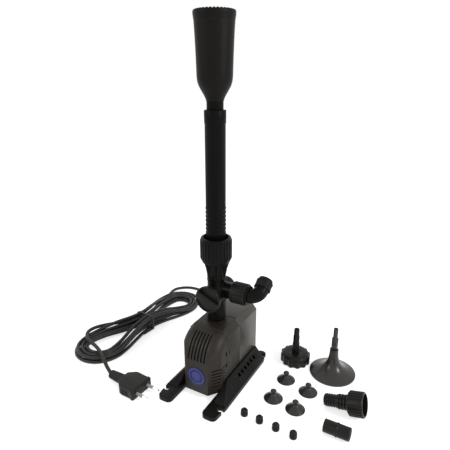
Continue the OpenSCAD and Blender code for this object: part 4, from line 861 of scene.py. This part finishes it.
# The inner tube: it slides in the riser tube and is held by friction; a few moulded marks show
# as fine rings near its top. The nozzle pushes on its spigot.
inner_radius, inner_bore, inner_low, inner_high, spigot_radius, spigot_low = 9.2, 7.3, 210, 357, 8.2, 349
outline = [(inner_bore, inner_low), (8.9, inner_low), (inner_radius, 210.4)]
for i in range(8):
    z = 250 + 12 * i
    outline += [(inner_radius, z), (9.12, z + 0.15), (9.12, z + 0.45), (inner_radius, z + 0.6)]
outline += [(inner_radius, 348.8), (spigot_radius, spigot_low), (spigot_radius, 356.6),
            (7.9, inner_high), (inner_bore, inner_high), (inner_bore, inner_low)]
inner_tube = turned("riser_inner_tube", outline, 72)
bpy.ops.object.shade_smooth_by_angle(angle=math.radians(40))
dressed(inner_tube, tube_black, "telescope", "plastic", "inner_tube")

# The nozzle: a bottle-shaped spray head with a narrow neck below and a slight widening up to
# its crown, blow-smooth and a touch browner than the tube.
nozzle_low, nozzle_long, nozzle_radius = 349, 77, 20
nozzle_black = moulded("nozzle_black", (0.0045, 0.0039, 0.0034), (0.025, 0.0213, 0.018), roughness=0.36,
                       mottle=0.3, relief=0.02, shine=0.09)


def softened(points, rounds=3):
    """Rounds a drawn outline by cutting its corners."""
    for _ in range(rounds):
        new = [points[0]]
        for a, b in zip(points, points[1:]):
            new += [(a[0] * 0.75 + b[0] * 0.25, a[1] * 0.75 + b[1] * 0.25),
                    (a[0] * 0.25 + b[0] * 0.75, a[1] * 0.25 + b[1] * 0.75)]
        points = new + [points[-1]]
    return points


nozzle_shares = ((0.475, 0), (0.52, 0.045), (0.7, 0.125), (0.845, 0.19), (0.93, 0.25), (0.962, 0.32),
                 (0.972, 0.45), (0.998, 0.68), (1.03, 0.87), (1.06, 1))
side = softened([(r * nozzle_radius, nozzle_low + h * nozzle_long) for r, h in nozzle_shares])
bore = [(nozzle_radius - 1.6, nozzle_low + nozzle_long), (18, nozzle_low + 30), (17, nozzle_low + 22),
        (12, nozzle_low + 13), (8.3, nozzle_low + 9.7), (8.3, nozzle_low)]
nozzle = turned("nozzle_bottle", [(8.3, nozzle_low)] + side + bore, 96)
bpy.ops.object.shade_smooth_by_angle(angle=math.radians(40))
dressed(nozzle, nozzle_black, "nozzle", "plastic", "nozzle_body")

# The crown: the flared rim of the nozzle's mouth, glued on over a fine seam, with a ring of
# teeth to grip it by.
crown_radius, crown_low, crown_high = 22.2, 426, 436.5
crown_seam, crown_bore, teeth = 21.12, 18.4, 36
flare = softened([(crown_seam, crown_low), (21.4, crown_low + 2), (21.8, crown_low + 4.5),
                  (crown_radius, crown_low + 7.4), (crown_radius, crown_low + 9.2)], 2)
rim = [(21.9, crown_low + 9.7), (21.4, crown_low + 9.8), (crown_bore, crown_low + 9.8),
       (crown_bore, crown_low)]
crown = turned("nozzle_rim", [(crown_bore, crown_low), (crown_seam, crown_low)] + flare[1:] + rim, 108)
bpy.ops.mesh.primitive_cube_add(size=1)
tooth = bpy.context.object
tooth.name = "tooth"
tooth.scale = (2.7 * mm, 2.1 * mm, 2.6 * mm)
stood(tooth, move=(20.45, 0, crown_high - 1.35))
eased(tooth, 0.35, rounds=2)
joined_by(crown, ring_of(tooth, teeth), "UNION")
bpy.ops.object.shade_smooth_by_angle(angle=math.radians(40))
dressed(crown, nozzle_black, "nozzle", "plastic", "nozzle_crown")

# The spray plate: a thin, slightly domed disc of black plastic, sprung into the crown, with
# jet holes in three rings of six, twelve and eighteen.
plate_radius, plate_rise, plate_low = 18.2, 2.5, crown_high - 1.2
dome = (plate_radius ** 2 + plate_rise ** 2) / 5
top = []
for i in range(13):
    r = plate_radius * i / 12
    top.append((r, plate_low + plate_rise - dome + math.sqrt(dome ** 2 - r ** 2)))
spray = turned("spray_disc", top + [(r, z - 1.6) for r, z in reversed(top)], 96)
for k in (1, 2, 3):
    for i in range(6 * k):
        a = math.tau * i / (6 * k)
        bpy.ops.mesh.primitive_cylinder_add(vertices=12, radius=0.9 * mm, depth=8 * mm)
        jet = bpy.context.object
        stood(jet, move=(k * 5.08 * math.cos(a), k * 5.08 * math.sin(a), plate_low + 1))
        joined_by(spray, jet, "DIFFERENCE")
bpy.ops.object.shade_smooth_by_angle(angle=math.radians(30))
dressed(spray, tube_black, "nozzle", "plastic", "spray_plate")

# The mains cord: one round rubber cord of 5 mm, from the gland at the housing's back round the
# rear in a loose arc, into a tied hank of two crossed-over lobes, and on to the plug. Its route
# repeats the one that the solids follow.
cord_radius = 2.5
run_points = ((0, 84, gland_high), (0, 92, 16.6), (-2, 104, 13.5), (-8, 118, 7.5), (-18, 132, 3.4),
              (-32, 145, cord_radius), (-50, 157, cord_radius), (-70, 167, cord_radius),
              (-92, 175, cord_radius), (-114, 182, cord_radius), (-134, 187, cord_radius),
              (-152, 190, cord_radius), (-168, 189, cord_radius), (-181, 182, cord_radius),
              (-189.5, 171, cord_radius), (-189.8, 158, cord_radius), (-186.6, 146, cord_radius))
lead_points = ((-173.6, 36, 14.9), (-178, 28.2, 14.6), (-182.6, 21.5, 14.2), (-190, 13, 13.9),
               (-198.4, 4, 13.6), (-205.2, -5.5, 13.8), (-209, -17, 14.3), (-207, -28.5, 14.8),
               (-198.5, -37.5, 14.6), (-187, -42.5, 14.1), (-175, -46, 13.9), (-164, -50, 13.9),
               (-154, -55, 13.9), (-145, -60, 13.4), (-136.5, -65, 11.6), (-128, -69.5, 9))
hank_loops, hank_front, hank_rear, hank_wide, hank_slim = 6.14, 117, 116, 38, 34.5
hank_x, hank_y, hank_turn, hank_lean = -158, 45, math.radians(-6), 9
lobe_step, waist_step, waist_gap, row_step, tie_lift = 6.3, 3.7, 3, 5.6, 1.2
rear_y, front_y = hank_rear - hank_slim, hank_front - hank_wide
waist_wide = waist_gap + hank_loops / 2 * waist_step
down_end, front_end, up_end = 0.3, 0.51, 0.81


def spread(y):
    """How far the hank's bands have opened at y: 0 at its waist, 1 at its lobes."""
    return (1 - math.cos(math.pi * min(1, abs(y) / (rear_y if y > 0 else front_y)))) / 2


def drawn(i, y):
    """Half the width of the hank's band i at y."""
    waist = waist_wide - i * waist_step
    return waist + ((hank_slim if y > 0 else hank_wide) - i * lobe_step - waist) * spread(y)


def hank_at(u):
    """A point of the hank after u loops: down the left, round the front, up the right, round the rear."""
    k, i = math.floor(u), min(u, hank_loops - u)
    t = u - k
    if t < down_end:
        y = rear_y - (rear_y + front_y) * t / down_end
        x = -drawn(i, y)
    elif t < front_end:
        a, r = math.pi * (1 + (t - down_end) / 0.21), hank_wide - i * lobe_step
        x, y = r * math.cos(a), -front_y + r * math.sin(a)
    elif t < up_end:
        y = (rear_y + front_y) * (t - front_end) / 0.3 - front_y
        x = drawn(i, y)
    else:
        a, r = math.pi * (t - up_end) / 0.19, hank_slim - i * lobe_step
        x, y = r * math.cos(a), rear_y + r * math.sin(a)
    straight = t < down_end or front_end <= t < up_end
    at = y if straight else rear_y
    up, odd = 1 - spread(at) ** 2, k % 2
    if k < 3:
        row = odd * up
    elif k == 3 and t < down_end:
        row = up if y > 0 else 1
    else:
        row = 1 + up * (1 + odd)
    z = cord_radius + tie_lift + row * row_step - tie_lift * spread(at)
    if y < 0:
        x -= hank_lean * spread(max(y, -front_y))
    return (hank_x + x * math.cos(hank_turn) - y * math.sin(hank_turn),
            hank_y + x * math.sin(hank_turn) + y * math.cos(hank_turn), z)


def pushed(a, b, d):
    """Point a, moved by d away from b."""
    gap = math.dist(a, b)
    return tuple(p + (p - q) / gap * d for p, q in zip(a, b))


rings = 147
hank = [hank_at(hank_loops * i / rings) for i in range(rings + 1)]
hank = [pushed(hank[0], hank[1], 5)] + hank + [pushed(hank[-1], hank[-2], 5)]
plug_place, plug_heading, plug_long = (-62, -77.5, 7), -3, 54
plug_turn = math.radians(plug_heading)
plug_neck = (plug_place[0] - plug_long * math.cos(plug_turn),
             plug_place[1] - plug_long * math.sin(plug_turn), plug_place[2])


def flowing(points, parts):
    """Points on a smooth line through the chosen ones."""
    out = []
    for i in range(len(points) - 1):
        a, b, c, d = (Vector(points[max(0, min(len(points) - 1, i + k))]) for k in (-1, 0, 1, 2))
        bend, twist = 2 * a - 5 * b + 4 * c - d, 3 * b - a - 3 * c + d
        for j in range(parts):
            t = j / parts
            out.append(0.5 * (2 * b + (c - a) * t + bend * t * t + twist * t ** 3))
    return out + [Vector(points[-1])]


way_in = flowing(list(run_points) + [hank[0]], 2)
way_out = flowing([hank[-1]] + list(lead_points) + [plug_neck], 2)
route = flowing(way_in[:-1] + [Vector(p) for p in hank] + way_out[1:], 3)
line = bpy.data.curves.new("mains_cord", "CURVE")
line.dimensions = "3D"
line.bevel_depth = cord_radius * mm
line.bevel_resolution = 4
line.use_fill_caps = True
spline = line.splines.new("POLY")
spline.points.add(len(route) - 1)
for point, at in zip(spline.points, route):
    point.co = (*(at * mm), 1)
spline.use_smooth = True
cord = bpy.data.objects.new("mains_cord", line)
bpy.context.collection.objects.link(cord)
cord_black = moulded("cord_black", (0.01, 0.0094, 0.009), (0.04, 0.037, 0.034), roughness=0.34,
                     mottle=0.3, grain=1400, relief=0.06, edge_highlight=0, shine=0.34)
cord_long = sum((b - a).length for a, b in zip(route, route[1:])) * mm
dressed(cord, cord_black, "base", "cord", "cord_run", "cord_hank", "cord_lead")

# The gland: a tapered rubber sleeve that keeps the cord from kinking where it leaves the
# housing, with rings that let it bend.
gland_outline = [(2.55, 5), (6, 5), (6, 9.2), (5.6, 9.8)]
for i in range(6):
    z, r = 10.6 + 2.3 * i, 5.5 - 0.3 * i
    gland_outline += [(r - 0.7, z), (r - 0.7, z + 0.7), (r, z + 1.1), (r, z + 1.9)]
gland_outline += [(3.6, 25), (3.6, 28), (3.3, 28.4), (2.55, 28.4), (2.55, 5)]
gland_rubber = moulded("gland_rubber", (0.009, 0.0085, 0.008), (0.03, 0.028, 0.026), roughness=0.5,
                       mottle=0.25, relief=0.1, edge_highlight=0.2, shine=0.2)
gland = turned("cord_gland_sleeve", gland_outline, 64)
eased(gland, 0.2, rounds=1)
stood(gland, turn=(-90, 0, 0), move=(0, 55.6, gland_high))
dressed(gland, gland_rubber, "base", "cord", "cord_gland")

# The tie: a flat strap, wrapped once round the hank's waist, with its end left standing out
# along the cord.
tie_black = moulded("tie_black", (0.012, 0.012, 0.0115), (0.036, 0.035, 0.033), roughness=0.3, mottle=0.2,
                    relief=0.02, edge_highlight=0, shine=0.3)
half_wide, tie_high = waist_wide + cord_radius + 0.3, 3 * row_step + 5 + 0.6 + 0.9
tie_wide, tie_thick, tie_round = 3, 0.9, 5


def tie_way(radius):
    """The way round the hank's waist, with a rounded corner at each end of it, above and below."""
    side, top, foot = half_wide - tie_round, tie_high - tie_round, 5.2
    corners = ((side, top, 0), (-side, top, 90), (-side, foot, 180), (side, foot, 270))
    return [p for x, z, start in corners for p in arc(x, z, radius, start, start + 90, 6)]


tie = sawn("hank_tie", tie_way(tie_round), -tie_wide / 2, tie_wide / 2)
joined_by(tie, sawn("inner", tie_way(tie_round - tie_thick / 2), -4, 4), "DIFFERENCE")
tail = box(half_wide - 0.3, half_wide + 0.6, 5, 2.2)
joined_by(tie, sawn("tail", tail, -1.4, 20.5), "UNION")
eased(tie, 0.2, rounds=2)
stood(tie, turn=(90, 0, 0))
stood(tie, turn=(0, 0, math.degrees(hank_turn)), move=(hank_x, hank_y, 0))
dressed(tie, tie_black, "base", "cord", "cord_tie")

# The plug: a flat moulded two-pin plug with a stepped waist and a tapered neck that takes the
# cord; soft black vinyl with a parting line all round.
pin_apart = 9.3
plug_black = moulded("plug_black", (0.011, 0.0103, 0.0097), (0.035, 0.0325, 0.03), roughness=0.36,
                     mottle=0.25, relief=0.05, shine=0.2)
plug = sawn("plug_moulding", [(0, -17), (0, 17), (-4, 17), (-5.5, 16), (-20, 16.4), (-24, 15.5),
                              (-33, 8.2), (-33, -8.2), (-24, -15.5), (-20, -16.4), (-5.5, -16),
                              (-4, -17)], -7, 7)
eased(plug, 2.0, rounds=4, angle=50)
neck_outline = [(0, -plug_long), (5.1, -plug_long), (5.5, -53.4)]
for i in range(5):
    z = 4 * i
    neck_outline += [(5.6 + 0.25 * i, -52 + z), (4.9 + 0.3 * i, -51.5 + z),
                     (4.9 + 0.3 * i, -50.6 + z), (5.7 + 0.27 * i, -50.1 + z)]
neck = turned("neck", neck_outline + [(7.2, -31), (7.2, -24), (0, -24)], 48)
stood(neck, turn=(0, 90, 0))
joined_by(plug, neck, "UNION")
for s in (-1, 1):
    bpy.ops.mesh.primitive_cylinder_add(vertices=32, radius=2.05 * mm, depth=12 * mm)
    stood(bpy.context.object, turn=(0, 90, 0), move=(-5, s * pin_apart, 0))
    joined_by(plug, bpy.context.object, "DIFFERENCE")
cord_room = 2.6
bpy.ops.mesh.primitive_cylinder_add(vertices=32, radius=cord_room * mm, depth=14 * mm)
stood(bpy.context.object, turn=(0, 90, 0), move=(-50, 0, 0))
joined_by(plug, bpy.context.object, "DIFFERENCE")
for s in (-1, 1):
    for i in range(5):
        x = -21 + 2.6 * i
        groove = box(x, x + 1.1, s * 15.6, s * 18)
        joined_by(plug, sawn("groove", groove, -4.2, 4.2), "DIFFERENCE")
bpy.ops.object.shade_smooth_by_angle(angle=math.radians(35))
stood(plug, turn=(0, 0, plug_heading), move=plug_place)
dressed(plug, plug_black, "base", "cord", "plug_body")

# The pins: two round nickel-plated brass pins with rounded tips, each in a grey sleeve over its
# inner half.
pin_metal = plated("pin_metal", (0.97, 0.955, 0.92), 0.2, brushed=0.1)
sleeve_grey = moulded("sleeve_grey", (0.34, 0.33, 0.31), (0.5, 0.48, 0.45), roughness=0.4, mottle=0.2, edge_highlight=0)
pin_radius, pin_sunk = 1.7, -11
for side_name, s in (("left", -1), ("right", 1)):
    shaft = [(0, pin_sunk), (pin_radius, pin_sunk), (pin_radius, 17.6)]
    pin = turned("pin_" + side_name, shaft + arc(0.5, 17.6, 1.2, 0, 90, 6) + [(0, 18.8)], 40)
    eased(pin, 0.1, rounds=1, angle=50)
    stood(pin, turn=(0, 90, 0), move=(0, s * pin_apart, 0))
    stood(pin, turn=(0, 0, plug_heading), move=plug_place)
    dressed(pin, pin_metal, "base", "pins", "plug_pins")
    tube = turned("sleeve_" + side_name, [(1.72, pin_sunk), (1.98, pin_sunk), (1.98, 9.7), (1.85, 10),
                                          (1.72, 10), (1.72, pin_sunk)], 40)
    stood(tube, turn=(0, 90, 0), move=(0, s * pin_apart, 0))
    stood(tube, turn=(0, 0, plug_heading), move=plug_place)
    bpy.ops.object.shade_smooth_by_angle(angle=math.radians(40))
    dressed(tube, sleeve_grey, "base", "sleeve", "pin_sleeves")

cap_x, cap_y, cap_radius, cap_high = 79.5, 80.5, 20, 14
cap_outline = []
for i in range(72):
    a = math.radians(5 * i)
    r = cap_radius - 0.7 + 1.05 * math.tanh(1.6 * math.cos(12 * a))
    cap_outline.append((r * math.cos(a), r * math.sin(a)))
cap = sawn("waterfall_cap_grip", cap_outline, 0, 11.8)
eased(cap, 0.9, rounds=3, angle=60)
top = turned("top", [(0, 10), (18.3, 10), (18.3, 11.8), (17.2, 13.2), (15.6, cap_high),
                     (9, cap_high), (8.2, cap_high), (6.4, 13.2), (0, 13.2)])
joined_by(cap, top, "UNION")
hollow = turned("hollow", [(0, -1), (15.9, -1), (15.9, 10.4), (15.2, 11), (0, 11)])
joined_by(cap, hollow, "DIFFERENCE")
hole = turned("hole", [(0, 8), (4.75, 8), (4.75, 20), (0, 20)])
joined_by(cap, hole, "DIFFERENCE")
eased(cap, 0.35, rounds=2, angle=35)
stood(cap, move=(cap_x, cap_y, 0))
kit_black = moulded("kit_black", (0.008, 0.0073, 0.0067), (0.034, 0.0305, 0.027), roughness=0.26,
                    mottle=0.22, relief=0.03, shine=0.18)
dressed(cap, kit_black, "base", "plastic", "waterfall_cap")

# The cap's stem: a black plastic tube moulded in three steps, open from end to end, that is
# pushed through the cap with its widest step.
stem_low, stem_high, stem_bore = 11, 50, 2
stem = turned("waterfall_cap_stem", [
    (stem_bore, stem_low), (4.6, stem_low), (4.7, 11.3), (4.7, 28.4), (4.2, 29.2), (4.2, 39.4), (3.7, 40.2),
    (3.7, 49.4), (3.4, stem_high), (2.3, stem_high), (stem_bore, 49.7), (stem_bore, stem_low)], 48)
eased(stem, 0.2, rounds=2, angle=35)
stood(stem, move=(cap_x, cap_y, 0))
dressed(stem, kit_black, "base", "plastic", "cap_stem")

# The trumpet nozzle: a thin spun-looking bell that flares from a stem, standing on its rim; the
# upper stem is a separate two-step tube.
bell_x, bell_y, bell_radius, bell_high = 132, 80, 29.8, 67
bell_shares = ((1, 0.025), (0.86, 0.05), (0.66, 0.088), (0.47, 0.145), (0.32, 0.225), (0.235, 0.32),
               (0.195, 0.42), (0.186, 0.54))
outer = softened([(r * bell_radius, h * bell_high) for r, h in bell_shares])
inner = []
for i, (r, h) in enumerate(bell_shares):
    inner.append((max(r * bell_radius - 1.6, 2.15), h * bell_high - (1.5 if i < 5 else 0)))
inner = softened(inner[1:])
bell_black = moulded("bell_black", (0.02, 0.0178, 0.0153), (0.06, 0.0525, 0.0455), roughness=0.2,
                     mottle=0.35, relief=0.015, shine=0.42)
lip = [(bell_radius - 1.4, 0), (bell_radius - 0.4, 0), (bell_radius, 0.5)]
bell = turned("trumpet_bell", lip + outer + list(reversed(inner)) + lip[:1], 108)
bpy.ops.object.shade_smooth_by_angle(angle=math.radians(40))
stood(bell, move=(bell_x, bell_y, 0))
dressed(bell, bell_black, "base", "plastic", "trumpet_nozzle")
base_z = bell_high * 0.54
stem_steps = ((2.1, 0), (3.9, 0), (4.15, 0.3), (4.15, 16.6), (3.4, 17.6), (2.9, 18.4), (2.9, 30.3),
              (2.6, 30.8), (2.1, 30.8), (2.1, 0))
bell_stem = turned("trumpet_stem_tube", [(r, base_z + z) for r, z in stem_steps], 48)
bpy.ops.object.shade_smooth_by_angle(angle=math.radians(40))
stood(bell_stem, move=(bell_x, bell_y, 0))
dressed(bell_stem, bell_black, "base", "plastic", "trumpet_stem")

# The suction cups: four soft rubber cups, thin at the lip, each with a mushroom knob that snaps
# into a seat of the rails.
cup_rubber = moulded("cup_rubber", (0.016, 0.0153, 0.0143), (0.05, 0.047, 0.0435), roughness=0.22,
                     mottle=0.3, relief=0.03, edge_highlight=0, shine=0.36)
cup_inside = [(0, 5.4), (3.4, 4.4), (7.5, 2), (10.8, 0)]
cup_outside = softened([
    (10.8, 0), (11.8, 0.1), (11.8, 0.7), (10.4, 1.8), (7.4, 4.1), (4.6, 6.1), (3.5, 7.1), (2.9, 8.5),
    (3.1, 9.4), (3.75, 10.3), (3.75, 11.5), (2.6, 12.4), (1.2, 12.5)], 2)
cup = turned("suction_cup", cup_inside + cup_outside[1:] + [(0, 12.5)], 56)


def laid_out(piece, places, smooth, finish, node):
    """Copies a loose rubber piece to its places on the floor and dresses all of them."""
    pieces = [piece] + [copy_of(piece) for place in places[1:]]
    for one, (x, y) in zip(pieces, places):
        stood(one, move=(x, y, 0))
        bpy.ops.object.shade_smooth_by_angle(angle=math.radians(smooth))
        dressed(one, finish, "base", "rubber", node)


laid_out(cup, ((84, 35), (116.5, 27), (83, -4.5), (113, -9)), 45, cup_rubber, "suction_cups")

# The rubber plugs: four small black plugs, each moulded in one piece of rubber with a flat
# foot, a waist and a tapered end.
bung = turned("rubber_plug", [
    (0, 0), (3.7, 0), (4.1, 0.3), (4.3, 0.9), (4.3, 3.1), (4.0, 3.5), (3.3, 3.9), (3.3, 5.3),
    (4.0, 5.7), (4.3, 6.0), (4.1, 7.0), (3.2, 8.1), (2.4, 8.9), (1.9, 9), (1.6, 8.7), (0, 8.6)], 44)
laid_out(bung, ((64.5, -46.5), (84.5, -48), (105, -49), (126, -50)), 50, kit_black, "rubber_plugs")

# The hose tail: a two-step barbed tail for two hose sizes, held by a knurled nut; it lies on
# its nut, so it slopes down to its tip.
tail_x, tail_y, tail_tip, tail_wide, nut_out = 141, 16.5, 7.6, 8.9, 14.4
tail_lean = math.asin((nut_out - tail_tip) / 29)


def laid_down(piece):
    """Lays a piece of the hose tail down, so that it slopes from its nut to its tip."""
    stood(piece, turn=(0, 90, 0))
    place = (tail_x, tail_y, tail_tip * math.cos(tail_lean))
    stood(piece, turn=(0, -math.degrees(tail_lean), 0), move=place)


barbs = [(5.2, 0), (6.5, 0), (6.8, 0.3)]
for i in range(5):
    barbs += [(6.7, 3 * i + 0.4), (7.6, 3 * i + 2.5), (7.55, 2.9 + 3 * i)]
barbs += [(6.8, 15), (7.9, 15.2)]
for i in range(4):
    barbs += [(7.9, 15.3 + 3.5 * i), (tail_wide, 18.1 + 3.5 * i), (8.85, 18.6 + 3.5 * i)]
barbs += [(8.28, 29.2), (8.28, 31.6), (11.9, 31.6), (11.9, 34), (5.2, 34), (5.2, 0)]
hose_tail = turned("hose_tail_barbs", barbs, 64)
bpy.ops.object.shade_smooth_by_angle(angle=math.radians(35))
laid_down(hose_tail)
dressed(hose_tail, kit_black, "base", "plastic", "hose_tail")
tail_nut = turned("hose_tail_nut", [
    (8.4, 29), (12.6, 29), (13.6, 30), (13.7, 30.6), (13.7, 46.4), (13.2, 47), (12.2, 47), (12.2, 31.5),
    (8.4, 31.5), (8.4, 29)], 80)
ribbed(tail_nut, 26, nut_out, 1.6, 30.4, 46.2)
bpy.ops.object.shade_smooth_by_angle(angle=math.radians(35))
laid_down(tail_nut)
dressed(tail_nut, kit_black, "base", "plastic", "tail_nut")

# The straight connector: a plain coupling tube of black plastic, open at both ends, with a
# stop ridge moulded round its middle, which it lies on.
joiner_long, joiner_bore, joiner_radius, ridge_radius = 29, 5.6, 7.3, 7.9
joiner = turned("straight_joiner", [
    (joiner_bore, 0), (6.9, 0), (joiner_radius, 0.5), (joiner_radius, 13.2), (ridge_radius, 13.7),
    (ridge_radius, 15.3), (joiner_radius, 15.8), (joiner_radius, 28.5), (6.9, joiner_long),
    (joiner_bore, joiner_long), (joiner_bore, 0)], 64)
eased(joiner, 0.2, rounds=2, angle=40)
stood(joiner, turn=(0, 90, 0), move=(152, -24, ridge_radius))
dressed(joiner, kit_black, "base", "plastic", "straight_connector")

# The works inside: chamber, rotor, stator, windings, seals and bushes keep their own solids,
# which show only where the cage is off or in a cut, and get their real finishes.
ceramic_white = moulded("ceramic_white", (0.78, 0.77, 0.72), (0.85, 0.84, 0.8), roughness=0.2, mottle=0.2,
                        relief=0.01, edge_highlight=0)
ferrite_grey = moulded("ferrite_grey", (0.06, 0.06, 0.062), (0.1, 0.1, 0.1), roughness=0.5, mottle=0.4,
                       relief=0.1, edge_highlight=0.3)
nylon_white = moulded("nylon_white", (0.55, 0.53, 0.47), (0.62, 0.6, 0.55), roughness=0.4, mottle=0.3,
                      relief=0.02, edge_highlight=0)
seal_brown = moulded("seal_brown", (0.1, 0.035, 0.02), (0.15, 0.06, 0.04), roughness=0.45, mottle=0.3, edge_highlight=0)
copper_wire = plated("copper_wire", (0.6, 0.25, 0.1), 0.3)
core_steel = plated("core_steel", (0.36, 0.36, 0.37), 0.35)
resin_black = moulded("resin_black", (0.012, 0.012, 0.012), (0.03, 0.03, 0.03), roughness=0.2, mottle=0.2,
                      relief=0.02, edge_highlight=0)
works = {
    "pump_chamber": tee_black, "chamber_cover": tee_black, "riser_ball": tube_black,
    "front_bush": gland_rubber, "rear_bush": gland_rubber, "side_washer": gland_rubber,
    "chamber_screws": screw_steel, "valve_plug": nylon_white, "ceramic_shaft": ceramic_white,
    "rotor_magnet": ferrite_grey, "impeller": nylon_white, "chamber_seal": seal_brown,
    "valve_seal": seal_brown, "ball_seal": seal_brown, "coil_bobbins": nylon_white,
    "coil_windings": copper_wire, "stator_core": core_steel, "motor_block": resin_black}
for name, finish in works.items():
    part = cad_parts[name]
    part.data.materials.clear()
    part.data.materials.append(finish)
